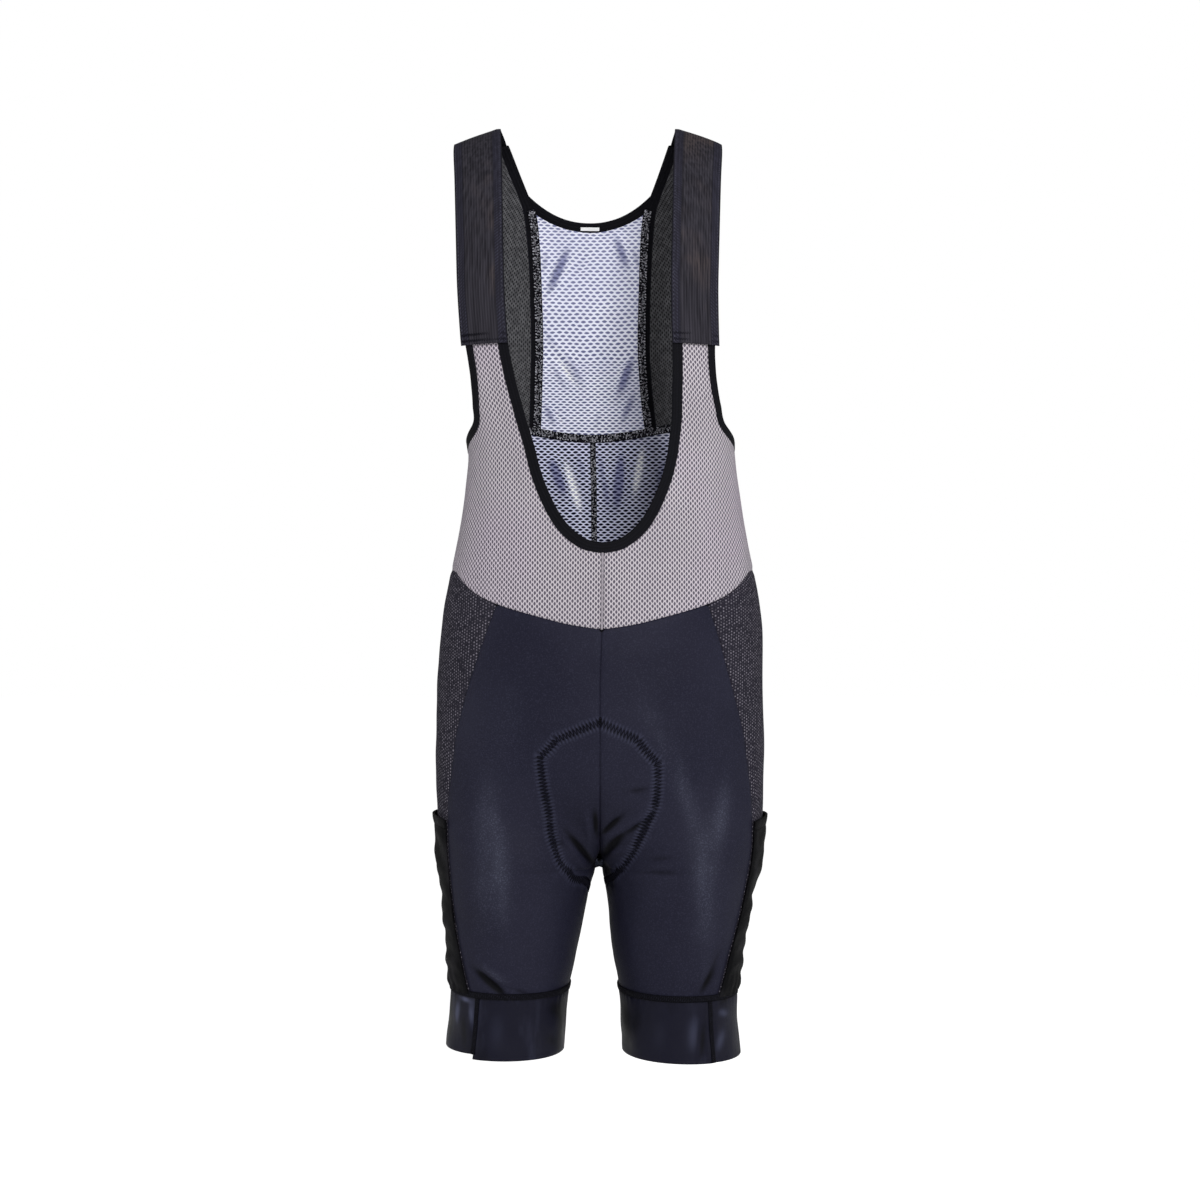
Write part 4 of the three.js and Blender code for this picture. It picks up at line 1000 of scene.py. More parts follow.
class Finish:
    """A material under way: its nodes are joined by short calls."""

    def __init__(self, name, colour, roughness, gloss=0.06, sheen=0.0):
        self.material = bpy.data.materials.new(name)
        self.material.use_nodes = True
        self.tree = self.material.node_tree
        self.shader = self.tree.nodes["Principled BSDF"]
        self.shader.inputs["Base Color"].default_value = (*srgb(colour), 1)
        self.shader.inputs["Roughness"].default_value = roughness
        self.shader.inputs["Specular IOR Level"].default_value = gloss
        self.shader.inputs["Sheen Weight"].default_value = sheen

    def node(self, kind, inputs=(), **settings):
        node = self.tree.nodes.new(kind)
        for name, value in settings.items():
            setattr(node, name, value)
        for socket, value in dict(inputs).items():
            self.join(value, node.inputs[socket])
        return node

    def join(self, value, socket):
        if isinstance(value, bpy.types.NodeSocket):
            self.tree.links.new(value, socket)
        else:
            socket.default_value = value

    def math(self, operation, *values):
        node = self.node("ShaderNodeMath", operation=operation)
        for value, socket in zip(values, node.inputs):
            self.join(value, socket)
        return node.outputs[0]

    def times(self, first, second):
        return self.math("MULTIPLY", first, second)

    def plus(self, first, second):
        return self.math("ADD", first, second)

    def minus(self, first, second):
        return self.math("SUBTRACT", first, second)

    def cloth_mm(self):
        """The place on the cloth: across and along, in millimetres."""
        uv = self.node("ShaderNodeUVMap", uv_map="cloth")
        parts = self.node("ShaderNodeSeparateXYZ", {0: uv.outputs[0]})
        return [self.times(parts.outputs[k], 1000.0) for k in (0, 1)]

    def uneven_mm(self, amount=0.35):
        """The same place, pulled about a little as a knit is."""
        u, v = self.cloth_mm()
        pull = self.times(self.minus(self.noise(60.0), 0.5), amount * 4)
        return self.plus(u, pull), self.plus(v, pull)

    def mark(self, name="tone"):
        return self.node("ShaderNodeAttribute", attribute_name=name).outputs["Fac"]

    def height_of_place(self):
        place = self.node("ShaderNodeTexCoord").outputs["Object"]
        return self.node("ShaderNodeSeparateXYZ", {0: place}).outputs[2]

    def noise(self, scale, detail=2.0, stretch=(1, 1, 1)):
        place = self.node("ShaderNodeTexCoord").outputs["Object"]
        if stretch != (1, 1, 1):
            place = self.node("ShaderNodeMapping", {"Vector": place, "Scale": stretch}).outputs[0]
        inputs = {"Vector": place, "Scale": scale, "Detail": detail}
        return self.node("ShaderNodeTexNoise", inputs).outputs[0]

    def ramp(self, value, low, high, start=0.0, end=1.0):
        inputs = {"Value": value, "From Min": low, "From Max": high, "To Min": start, "To Max": end}
        return self.node("ShaderNodeMapRange", inputs, interpolation_type="SMOOTHSTEP").outputs[0]

    def line_at(self, value, place, width):
        """1 where value is within half a width of a place, softly 0 beyond."""
        away = self.math("ABSOLUTE", self.minus(value, place))
        return self.ramp(away, width * 0.7, width * 0.3)

    def wave(self, value, pitch):
        turn = self.times(value, 2 * np.pi / pitch)
        return self.plus(self.times(self.math("SINE", turn), 0.5), 0.5)

    def holes(self, long, short, long_pitch, short_pitch, half_long, half_short, softness=0.25):
        """1 inside the lens-shaped holes of a staggered mesh and 0 on its threads."""
        row = self.math("DIVIDE", short, short_pitch)
        stagger = self.times(self.math("FLOOR", row), 0.5)
        column = self.plus(self.math("DIVIDE", long, long_pitch), stagger)
        x = self.minus(self.math("FRACT", column), 0.5)
        y = self.minus(self.math("FRACT", row), 0.5)
        x = self.math("DIVIDE", x, half_long / long_pitch)
        y = self.times(self.math("ABSOLUTE", y), short_pitch)
        y = self.math("DIVIDE", y, half_short)
        from_middle = self.plus(y, self.times(x, x))
        return self.ramp(from_middle, 1 - softness, 1 + softness, 1.0, 0.0)

    def mix(self, factor, first, second):
        node = self.node("ShaderNodeMix", data_type="RGBA")
        self.join(factor, node.inputs[0])
        for value, socket in ((first, node.inputs[6]), (second, node.inputs[7])):
            self.join(value if isinstance(value, bpy.types.NodeSocket) else (*srgb(value), 1), socket)
        return node.outputs[2]

    def set(self, socket, value):
        self.join(value, self.shader.inputs[socket])

    def bump(self, height, distance, strength=1.0):
        node = self.node("ShaderNodeBump", {"Height": height, "Distance": distance, "Strength": strength})
        if self.shader.inputs["Normal"].is_linked:
            self.join(self.shader.inputs["Normal"].links[0].from_socket, node.inputs["Normal"])
        self.join(node.outputs[0], self.shader.inputs["Normal"])


def white_mesh():
    """White back mesh. Its holes open wider below the cross seam. What shows through the holes is painted:
    pale above and darker downwards, with painted shade below the seam. The tone mark adds painted shade in
    the fold troughs and painted highlight on the ridges.
    """
    f = Finish("white open mesh", (222, 224, 240), 0.75)
    u, v = f.uneven_mm(0.5)
    height = f.height_of_place()
    low = f.ramp(height, -0.288, -0.306)
    tone = f.mark()
    # Painted shade in the fold troughs and painted highlight on the ridges, from the tone mark
    trough = f.ramp(tone, -0.1, -0.9)
    painted_ridge_highlight = f.ramp(tone, 0.15, 1.0)
    hole = f.holes(u, v, 7.3, 2.8, 2.9, f.ramp(low, 0.0, 1.0, 0.95, 1.2), 0.18)
    threads = f.mix(f.noise(24.0), (212, 213, 234), (242, 243, 254))
    threads = f.mix(f.times(low, 0.6), threads, (186, 190, 222))
    threads = f.mix(trough, threads, (138, 141, 176))
    threads = f.mix(painted_ridge_highlight, threads, (254, 254, 255))
    # Painted view through the holes: pale above, darker downwards, painted shade below the cross seam, then
    # painted fold shade and highlight
    behind = f.mix(f.ramp(height, -0.11, -0.285), (122, 126, 162), (84, 88, 126))
    behind = f.mix(low, behind, (12, 13, 34))
    behind = f.mix(f.times(trough, 0.6), behind, (36, 38, 74))
    behind = f.mix(f.times(painted_ridge_highlight, 0.6), behind, (200, 203, 228))
    f.set("Base Color", f.mix(hole, threads, behind))
    f.bump(f.minus(1.0, hole), 0.0005)
    f.bump(f.times(f.wave(u, 0.9), f.wave(v, 0.9)), 0.0001)
    return f.material


def grey_mesh():
    f = Finish("grey fine mesh", (150, 144, 152), 0.8)
    u, v = f.uneven_mm(0.3)
    hole = f.holes(v, u, 5.2, 2.45, 1.95, 1.1, 0.2)
    threads = f.mix(f.noise(14.0, 3.0), (172, 165, 172), (198, 192, 198))
    threads = f.mix(f.ramp(f.noise(7.0), 0.45, 0.65), threads, (184, 174, 185))
    # The holes show the garment's inside in shade: their dark colour is painted shade
    f.set("Base Color", f.mix(hole, threads, (88, 83, 94)))
    f.bump(f.minus(1.0, hole), 0.0004)
    f.bump(f.times(f.wave(u, 0.8), f.wave(v, 0.8)), 0.0001)
    return f.material


def ribbed_mesh():
    f = Finish("dark ribbed mesh", (66, 66, 64), 0.85)
    u, v = f.uneven_mm(0.2)
    hole = f.holes(v, u, 3.4, 2.2, 1.1, 0.62, 0.3)
    uneven = f.ramp(f.noise(240.0, 2.0), 0.35, 0.65)
    threads = f.mix(uneven, (66, 66, 69), (86, 86, 89))
    f.set("Base Color", f.mix(hole, threads, (22, 22, 24)))
    f.bump(f.minus(uneven, hole), 0.0004)
    return f.material


def strap_elastic():
    """Fine upright ribs, a little browner down the middle, between two closer woven edges."""
    f = Finish("woven strap elastic", (40, 39, 46), 0.75)
    u, v = f.cloth_mm()
    from_middle = f.math("ABSOLUTE", u)
    rib = f.wave(f.plus(u, f.times(f.noise(20.0), 0.5)), 2.6)
    thread = f.ramp(f.noise(300.0, 2.0, stretch=(1, 1, 0.03)), 0.3, 0.7)
    ribbed = f.plus(f.times(rib, 0.45), f.times(thread, 0.55))
    middle = f.mix(ribbed, (25, 24, 29), (53, 51, 58))
    worn = f.times(f.ramp(f.noise(13.0, 4.0), 0.48, 0.66), f.times(ribbed, 0.5))
    middle = f.mix(worn, middle, (80, 68, 62))
    weave = f.wave(f.plus(v, f.times(u, 0.6)), 2.4)
    sides = f.mix(f.times(weave, ribbed), (29, 28, 36), (54, 53, 66))
    tone = f.mix(f.ramp(from_middle, 14.4, 15.6), middle, sides)
    tone = f.mix(f.times(f.line_at(from_middle, 15.0, 0.9), 0.5), tone, (16, 16, 21))
    stitch = f.times(f.line_at(from_middle, 21.4, 0.8), f.ramp(f.wave(v, 3.2), 0.4, 0.7))
    tone = f.mix(f.times(stitch, 0.3), tone, (96, 96, 112))
    tone = f.mix(f.ramp(from_middle, 22.4, 23.2), tone, (16, 16, 21))
    f.set("Base Color", f.mix(f.ramp(v, STRAP_LAP_FROM, STRAP_LAP_FROM + 2), tone, (13, 13, 18)))
    f.bump(f.plus(ribbed, stitch), 0.0004)
    return f.material


def black_binding():
    f = Finish("folded black binding", (14, 14, 19), 0.7)
    u, v = f.cloth_mm()
    knit = f.times(f.wave(v, 1.5), f.wave(u, 1.2))
    across = f.math("COSINE", f.times(u, 2 * np.pi / ROUND_MM))
    stitch = f.times(f.line_at(across, 0.72, 0.12), f.ramp(f.wave(v, 3.0), 0.35, 0.6))
    tone = f.mix(knit, (9, 9, 13), (20, 20, 26))
    f.set("Base Color", f.mix(stitch, tone, (38, 38, 48)))
    f.bump(f.plus(knit, stitch), 0.0003)
    f.bump(f.noise(140.0, 3.0), 0.0004)
    return f.material


def overlock():
    """Two loops of white thread cross over a black sewn edge."""
    f = Finish("overlocked seam", (22, 22, 28), 0.8)
    u, v = f.cloth_mm()
    across = f.math("COSINE", f.times(u, 2 * np.pi / ROUND_MM))
    loops = []
    for pitch, reach in ((3.3, 0.6), (2.9, -0.55)):
        swing = f.times(f.math("SINE", f.times(v, 2 * np.pi / pitch)), reach)
        loops.append(f.line_at(f.minus(across, swing), 0.0, 0.4))
    broken = f.ramp(f.noise(520.0, 1.0), 0.47, 0.55)
    speck = f.times(f.math("MAXIMUM", *loops), broken)
    f.set("Base Color", f.mix(speck, f.mix(f.wave(v, 1.5), (6, 6, 9), (20, 20, 27)), (196, 196, 206)))
    f.bump(f.plus(f.wave(v, 1.5), speck), 0.0006)
    return f.material


def flat_seam(name, dark, light):
    f = Finish(name, dark, 0.75)
    u, v = f.cloth_mm()
    stitch = f.times(f.wave(v, 1.9), f.wave(f.plus(u, v), 2.6))
    f.set("Base Color", f.mix(f.times(stitch, f.noise(300.0)), dark, light))
    f.bump(stitch, 0.0006)
    return f.material


def navy_cloth():
    """Smooth fine knit, with painted highlight where the stretched cloth on the thigh gleams, painted shade
    in its creases and over the crotch, and puckered beside the pad's stitching with painted highlight on the
    puckers and painted shade between them.
    """
    f = Finish("navy stretch knit", (26, 26, 40), 0.55, gloss=0.08)
    u, v = f.cloth_mm()
    knit = f.times(f.wave(u, 0.9), f.wave(v, 1.1))
    tone = f.mix(f.ramp(f.noise(9.0, 4.0), 0.35, 0.7), (24, 24, 38), (30, 30, 44))
    grain = f.ramp(f.noise(760.0, 2.0), 0.5, 0.66)
    tone = f.mix(f.times(grain, 0.22), tone, (54, 55, 73))
    patchy = f.ramp(f.noise(30.0, 5.0, stretch=(1, 1, 0.35)), 0.2, 0.75)
    # Painted highlight where the stretched cloth gleams, from the tone mark
    gleam = f.times(f.ramp(f.mark(), 0.0, 1.0), patchy)
    tone = f.mix(f.times(gleam, f.ramp(grain, 0, 1, 0.45, 1.0)), tone, (88, 91, 108))
    # Painted shade in the creases and over the crotch, where the tone mark is negative
    tone = f.mix(f.ramp(f.mark(), 0.0, -1.0), tone, (2, 2, 6))
    # Painted highlight on the pucker crests beside the pad's stitching, and painted shade between them near
    # it
    away = f.mark("away")
    pucker = f.wave(f.mark("run"), PUCKER_PITCH)
    beside = f.ramp(away, 9.0, 4.0)
    tone = f.mix(f.times(f.times(pucker, beside), 0.35), tone, (64, 66, 86))
    gap = f.times(f.minus(1.0, pucker), f.ramp(away, 6.5, 2.5))
    f.set("Base Color", f.mix(f.times(gap, 0.35), tone, (4, 4, 9)))
    f.bump(knit, 0.00012)
    f.bump(f.noise(70.0, 3.0), 0.0005, 0.5)
    return f.material


def side_knit():
    """Columns of raised chain stitches over a darker ground."""
    f = Finish("textured side knit", (38, 37, 45), 0.85)
    u, v = f.uneven_mm(0.25)
    column = f.math("FLOOR", f.math("DIVIDE", u, 3.3))
    chain = f.times(f.wave(f.plus(v, f.times(column, 1.5)), 3.0), f.wave(u, 3.3))
    speck = f.times(f.ramp(chain, 0.25, 0.6), f.ramp(f.noise(330.0, 2.0), 0.36, 0.6))
    ground = f.mix(f.noise(18.0), (29, 28, 36), (40, 38, 47))
    f.set("Base Color", f.mix(speck, ground, (108, 104, 114)))
    f.bump(chain, 0.0006)
    return f.material


def pocket_knit():
    f = Finish("black pocket knit", (11, 11, 14), 0.6, gloss=0.05)
    u, v = f.cloth_mm()
    knit = f.times(f.wave(u, 1.0), f.wave(v, 1.2))
    gleam = f.ramp(f.noise(34.0, 3.0, stretch=(1, 1, 0.5)), 0.5, 0.78)
    tone = f.mix(knit, (4, 4, 6), (9, 9, 11))
    f.set("Base Color", f.mix(f.times(gleam, 0.55), tone, (42, 41, 45)))
    f.bump(knit, 0.00015)
    f.bump(f.noise(30.0, 3.0, stretch=(1, 1, 1.6)), 0.003, 0.8)
    return f.material


def band_cloth():
    """Smooth gripping knit, which gleams in short upright patches."""
    f = Finish("smooth band knit", (18, 18, 30), 0.42, gloss=0.09)
    u, v = f.cloth_mm()
    tone = f.mark()
    gleam = f.ramp(f.noise(42.0, 4.0, stretch=(1, 1, 0.3)), 0.54, 0.78)
    gleam = f.plus(f.times(gleam, 0.3), f.ramp(tone, 0.0, 1.0))
    shade = f.ramp(f.noise(28.0, 4.0, stretch=(1, 1, 0.4)), 0.5, 0.3)
    shade = f.plus(f.times(shade, 0.4), f.ramp(tone, 0.0, -1.0))
    colour = f.mix(gleam, (18, 18, 31), (68, 71, 92))
    f.set("Base Color", f.mix(shade, colour, (2, 2, 6)))
    f.set("Roughness", f.ramp(f.noise(22.0, 2.0), 0.3, 0.7, 0.36, 0.52))
    f.bump(f.times(f.wave(u, 0.8), f.wave(v, 0.9)), 0.00008)
    f.bump(f.noise(40.0, 2.0, stretch=(1, 1, 0.5)), 0.0018, 0.6)
    return f.material


def stitch_thread():
    f = Finish("dark sewing thread", (8, 8, 14), 0.6)
    f.set("Base Color", f.mix(f.noise(900.0), (4, 4, 9), (16, 16, 26)))
    f.bump(f.noise(1500.0), 0.0002)
    return f.material


def pad_cover():
    f = Finish("brushed pad cover", (44, 48, 60), 0.9, sheen=0.1)
    place = f.node("ShaderNodeTexCoord").outputs["Object"]
    dots = f.node("ShaderNodeTexVoronoi", {"Vector": place, "Scale": 330.0}).outputs[0]
    f.set("Base Color", f.mix(f.ramp(dots, 0.1, 0.4), (30, 33, 42), (56, 60, 74)))
    f.bump(f.ramp(dots, 0.1, 0.5), 0.0006)
    return f.material


def white_tape():
    f = Finish("plain white tape", (240, 240, 240), 0.65)
    u, v = f.cloth_mm()
    weave = f.times(f.wave(u, 0.7), f.wave(v, 0.7))
    f.set("Base Color", f.mix(weave, (226, 226, 228), (250, 250, 250)))
    f.bump(weave, 0.00015)
    return f.material


finishes = {
    "back_mesh": white_mesh(),
    "bib_mesh": grey_mesh(),
    "strap_mesh": ribbed_mesh(),
    "elastic": strap_elastic(),
    "binding": black_binding(),
    "overlock": overlock(),
    "flat_seam": flat_seam("flat black seam", (5, 5, 9), (40, 40, 52)),
    "grey_seam": flat_seam("flat grey seam", (140, 134, 142), (214, 208, 214)),
    "navy": navy_cloth(),
    "side": side_knit(),
    "pocket": pocket_knit(),
    "band": band_cloth(),
    "thread": stitch_thread(),
    "pad": pad_cover(),
    "tape": white_tape(),
}

# The camera stands where the photograph was taken from, level with the middle of the garment
camera_data = bpy.data.cameras.new("camera")
camera_data.lens = 60
camera_data.sensor_width = 36
camera = bpy.data.objects.new("camera", camera_data)
camera.location = (0.012, -2.0, -0.467)
camera.rotation_euler = (np.pi / 2, 0, 0)
bpy.context.scene.collection.objects.link(camera)
bpy.context.scene.camera = camera

SIDES = (("left", 1), ("right", -1))


def make_bib(word, side):
    centre_top = neck_mesh_edge(0)
    down_centre = straight((0, centre_top[1]), (0, float(waist_level(0))))
    start = joined(part(neck_mesh_edge, neck_mesh_top, 0), down_centre, 0.75)
    under_arm = straight(armhole_mesh_edge(armhole_side), (BIB_SIDE_SEAM, float(waist_level(BIB_SIDE_SEAM))))
    end = joined(part(armhole_mesh_edge, armhole_mesh_start, armhole_side), under_arm, 0.45)
    lines = (straight(start(0), end(0)), waist_line(0, BIB_SIDE_SEAM), start, end)
    cloth(f"bib_{word}", lines, 76, 136, finishes["bib_mesh"], f"front_bib_{word}", side,
          seams="bottom start end")
    edges = [part(edge, 0, armhole_top) for edge in (armhole_opening, armhole_mesh_edge)]
    binding(f"arm_binding_{word}", *edges, f"armhole_binding_{word}", f"bib_{word}", 320, side,
            laps=(0, BINDING_LAP))
    ribbon(f"bib_side_seam_{word}", mirrored(under_arm, side), finish=finishes["grey_seam"], on=f"bib_{word}",
           steps=80, **FLAT_SEAM)


def neck_both_ways(edge):
    return lambda s: edge(2 * np.asarray(s, float) - 1)


# Front straps


def strap_measure(places):
    inner, outer = (STRAP_EDGES.read(column, places[..., 1]) for column in ("inner", "outer"))
    share = (np.abs(places[..., 0]) - inner) / (outer - inner)
    return np.stack([(share - 0.5) * STRAP_WIDTH, places[..., 1] * LEVEL_ARC / 90], -1)


def strap_edge(column):
    def line(s):
        angle = lerp(STRAP_START, STRAP_END, np.asarray(s, float))
        return np.stack([STRAP_EDGES.read(column, angle), angle], -1)

    return line


def strap_cup(places, rows):
    """The strap's middle stands a little fuller than its edges."""
    share = rows / rows[:, -1:]
    return 0.5 + LAP_GAP + STRAP_CLOTH + 0.5 * np.sin(np.pi * share)


def make_strap(word, side):
    inner, outer = strap_edge("inner"), strap_edge("outer")
    lines = (straight(inner(0), outer(0)), straight(inner(1), outer(1)), inner, outer)
    cloth(f"strap_{word}", lines, 26, 180, finishes["elastic"], f"front_strap_{word}", side,
          surface=strap_surface, thick=STRAP_CLOTH, proud=strap_cup, seams="", step=(0.5, 0.2),
          measure=strap_measure, uneven=0.5, folds=False)
    inset = 1.6
    from_x, to_x = float(STRAP_EDGES.read("inner", 0)) + inset, float(STRAP_EDGES.read("outer", 0)) - inset
    for row, angle in enumerate((-0.4, 1.2)):
        ends = (from_x, angle), (to_x, angle)
        zigzag(f"strap_tack_{word}_{row}", mirrored(straight(*ends), side), strap_surface, 2.8, 2.4, 0.28,
               f"strap_{word}", height=3.3)


# Back: straps, their bands, the mesh between them, and the neck binding
band_top_z = {column: band_top(column) for column in ("inner", "outer")}
band_bottom_z = {column: band_bottom(column) for column in ("inner", "outer")}
band_inner = band_line("inner", band_top_z["inner"], band_bottom_z["inner"])
band_outer = band_line("outer", band_top_z["outer"], band_bottom_z["outer"])


def back_strap_edge(s):
    """The strap's outer edge, which lies inside the fold of the armhole binding."""
    low = armhole_back - STRAP_TUCK
    return lerp(part(armhole_mesh_edge, armhole_top, low)(s), part(armhole_opening, armhole_top, low)(s), 0.6)


def back_strap_bottom(s):
    """Along the back seam, drawn out at its outer end to meet the strap's edge."""
    seam = back_seam(BACK_SEAM_END_X, float(BACK_BAND.read("outer", band_bottom_z["outer"])))
    return seam(s) + (back_strap_edge(1) - seam(0)) * (1 - np.asarray(s, float))[..., None]


def make_back_strap(word, side):
    lines = (straight(back_strap_edge(0), band_outer(0)), back_strap_bottom, back_strap_edge, band_outer)
    cloth(f"rear_strap_{word}", lines, 30, 150, finishes["strap_mesh"], f"back_strap_{word}",
          side, seams="bottom end", uneven=0.4)
    binding(f"strap_band_{word}", band_inner, band_outer, f"back_strap_band_{word}", f"rear_strap_{word}",
            240, side)
    inside = band_line("inner", NECK_BOTTOM["end"] + 4, band_bottom_z["inner"] + 1)
    outside = band_line("outer", NECK_BOTTOM["end"] + 4, band_bottom_z["outer"] + 1)

    def middle(s):
        return lerp(inside(s), outside(s), 0.3)

    ribbon(f"band_overlock_{word}", mirrored(middle, side), 9, 1.8, finishes["overlock"],
           f"rear_strap_{word}", height=-2.9, steps=240, wave=0.12)


TAPE_TOP = -78.4
TAPE_BOTTOM = -82.0
TAPE_HALF = 10


def tape_row(z):
    """One long edge of the neck's tape."""

    def line(s):
        return place_at(lerp(TAPE_HALF, -TAPE_HALF, np.asarray(s, float)), z, 1)

    return line


def make_upper_back():
    top = neck_curve(NECK_TOP, NECK_TOP["half"], -NECK_TOP["half"])
    bottom = neck_curve(NECK_BOTTOM, NECK_BOTTOM["half"], -NECK_BOTTOM["half"])
    edge = band_line("inner", NECK_BOTTOM["end"], band_bottom_z["inner"])
    end = float(BACK_BAND.read("inner", band_bottom_z["inner"]))
    lines = (bottom, back_seam(end, -end), edge, other_side(edge))
    cloth("upper_back", lines, 90, 160, finishes["back_mesh"], "back_upper_panel",
          measure=across_back, uneven=0.5)
    binding("back_neck_edge", bottom, top, "back_neck_binding", "upper_back", 180, laps=(BINDING_LAP, 0))
    rows = [tape_row(z) for z in (TAPE_TOP, TAPE_BOTTOM)]
    sides = [straight(place_at(x, TAPE_TOP, 1), place_at(x, TAPE_BOTTOM, 1)) for x in (TAPE_HALF, -TAPE_HALF)]
    tape = cloth("label", (*rows, *sides), 16, 6, finishes["tape"], "neck_label", thick=0.9,
                 proud=-2.9, seams="", measure=across_back, uneven=0.1, folds=False)
    sewn_on.setdefault("upper_back", []).append(tape)
    ribbon("back_cross_seam", back_seam(-BACK_SEAM_END_X, BACK_SEAM_END_X), 8.5, 2.2, finishes["overlock"],
           "upper_back", height=-2.6, steps=260, wave=0.14)


def make_lower_back(word, side):
    top = joined(back_seam(0, BACK_SEAM_END_X), part(armhole_mesh_edge, armhole_back, armhole_side), 10 / 14)
    start = straight((1, BACK_SEAM_Z), (1, float(waist_level(1))))
    end = straight(armhole_mesh_edge(armhole_side), (BIB_SIDE_SEAM, float(waist_level(BIB_SIDE_SEAM))))
    lines = (top, waist_line(1, BIB_SIDE_SEAM), start, end)
    cloth(f"lower_back_{word}", lines, 100, 84, finishes["back_mesh"], f"back_lower_{word}",
          side, measure=across_back, uneven=0.5)


# Shorts


def pad_outline(facing, side):
    """Where the pad is sewn on, from the top corner to the inside of the leg, as if on the left side."""
    share = 0 if facing < 0 else 1
    table = STITCH_FRONT[side] if facing < 0 else PAD_BACK[::-1]
    places = [shorts_at(x, z, facing) for x, z in table] + [(share, STITCH_LOWEST[side])]
    top = (share, PAD_TOP["front" if facing < 0 else "back"])
    return joined(straight(top, places[0]), line_through(places), 0.3)


CROTCH_PARTING = 1.9
PUCKER_REACH = 7.0
pad_lines = {(facing, side): pad_outline(facing, side) for facing in (-1, 1) for side in (1, -1)}
pad_tracks = [leg(1)(line(np.linspace(0, 1, 400))) * (side, 1, 1) for (_, side), line in pad_lines.items()]


def near_pad_stitching(points):
    """How far each point is from the pad's stitching, and how far along the stitching it is."""
    flat = points.reshape(-1, 3)
    away, run = np.full(len(flat), 1e3), np.zeros(len(flat))
    for track in pad_tracks:
        reach = 3 * PUCKER_REACH
        close = np.flatnonzero(np.all((flat > track.min(0) - reach) & (flat < track.max(0) + reach), axis=1))
        if len(close):
            apart = np.linalg.norm(flat[close, None] - track[None], axis=-1)
            nearest = apart.argmin(1)
            is_nearer = apart.min(1) < away[close]
            heading = np.gradient(track, axis=0)
            heading /= np.linalg.norm(heading, axis=-1, keepdims=True)
            past = ((flat[close] - track[nearest]) * heading[nearest]).sum(-1)
            run[close] = np.where(is_nearer, lengths_along(track, 0)[nearest] + past, run[close])
            away[close] = np.minimum(away[close], apart.min(1))
    return away.reshape(points.shape[:-1]), run.reshape(points.shape[:-1])


def puckers(points):
    """The cloth dips along the pad's stitching and puckers beside it."""
    away, run = near_pad_stitching(points)
    slow = 0.45 * wander(run, run * 0, 5, 11) * np.exp(-((away / (2 * PUCKER_REACH)) ** 2))
    x, z = points[..., 0], points[..., 2]
    parting = CROTCH_PARTING * np.exp(-((x / 8) ** 2) - ((z - CROTCH_Z + 3) / 8) ** 2)
    return slow - 0.9 * np.exp(-((away / 3.4) ** 2)) - parting


def stitched_tone(gleams, facing):
    """Painted highlight where the stretched cloth gleams, painted shade in its creases with fainter painted
    highlight on their ridges, and a broad painted shade over the crotch; also how far each point is from the
    pad's stitching and along it, for the painted light and shade of the puckers.
    """

    def tone(points):
        away, run = near_pad_stitching(points)
        x, z = points[..., 0], points[..., 2]
        faces = points[..., 1] * facing > 0
        creases = fold_lift(FINE_FRONT_FOLDS if facing < 0 else FINE_BACK_FOLDS, x, z)
        # Painted shade in the creases, and a fainter painted highlight on their ridges
        painted_crease_shading = np.where(creases < 0, creases / 2.1, creases / 7)
        # A broad painted shade over the crotch
        shaded = 0.3 * np.exp(-((x / 46) ** 2) - ((z + 690) / 66) ** 2)
        return {"tone": faces * (fold_lift(gleams, x, z) + painted_crease_shading) - shaded, "away": away, "run": run}

    return tone


def make_shorts(word, side):
    around = leg(side)
    lines = (
        waist_line(0, float(front_side_seam(0)[0])),
        straight((0, LEG_SEAM_Z), front_side_seam(1)),
        centre_seam(0),
        front_side_seam,
    )
    cloth(f"leg_front_{word}", lines, 84, 214, finishes["navy"], f"front_leg_{word}", side,
          surface=around, uneven=0.4, dips=puckers, tone=stitched_tone(THIGH_GLEAMS, -1))
    lines = (
        waist_line(float(back_side_seam(0)[0]), 1),
        straight(back_side_seam(1), (1, LEG_SEAM_Z)),
        back_side_seam,
        centre_seam(1),
    )
    cloth(f"leg_back_{word}", lines, 84, 214, finishes["navy"], f"back_leg_{word}", side,
          surface=around, uneven=0.5, dips=puckers, tone=stitched_tone(SEAT_GLEAMS, 1))
    lines = (
        waist_line(float(front_side_seam(0)[0]), float(back_side_seam(0)[0])),
        straight(front_side_seam(1), back_side_seam(1)),
        front_side_seam,
        back_side_seam,
    )
    cloth(f"side_{word}", lines, 64, 190, finishes["side"], f"side_panel_{word}", side,
          surface=around, uneven=0.4)
    for facing in (-1, 1):
        on = f"leg_{'front' if facing < 0 else 'back'}_{word}"
        zigzag(f"pad_stitch_{on}", mirrored(pad_lines[facing, side], side), around, PAD_STITCH_WIDTH,
               PUCKER_PITCH, PAD_THREAD, on, height=-0.1)
    seams = (
        ("front_side_seam", front_side_seam, 220),
        ("back_side_seam", back_side_seam, 220),
        ("inseam", straight((0, CROTCH_Z - 20), (0, LEG_SEAM_Z)), 80),
    )
    for name, line, steps in seams:
        ribbon(f"{name}_{word}", mirrored(line, side), finish=finishes["flat_seam"], on=f"leg_front_{word}",
               surface=around, steps=steps, **FLAT_SEAM)


# Thigh pocket


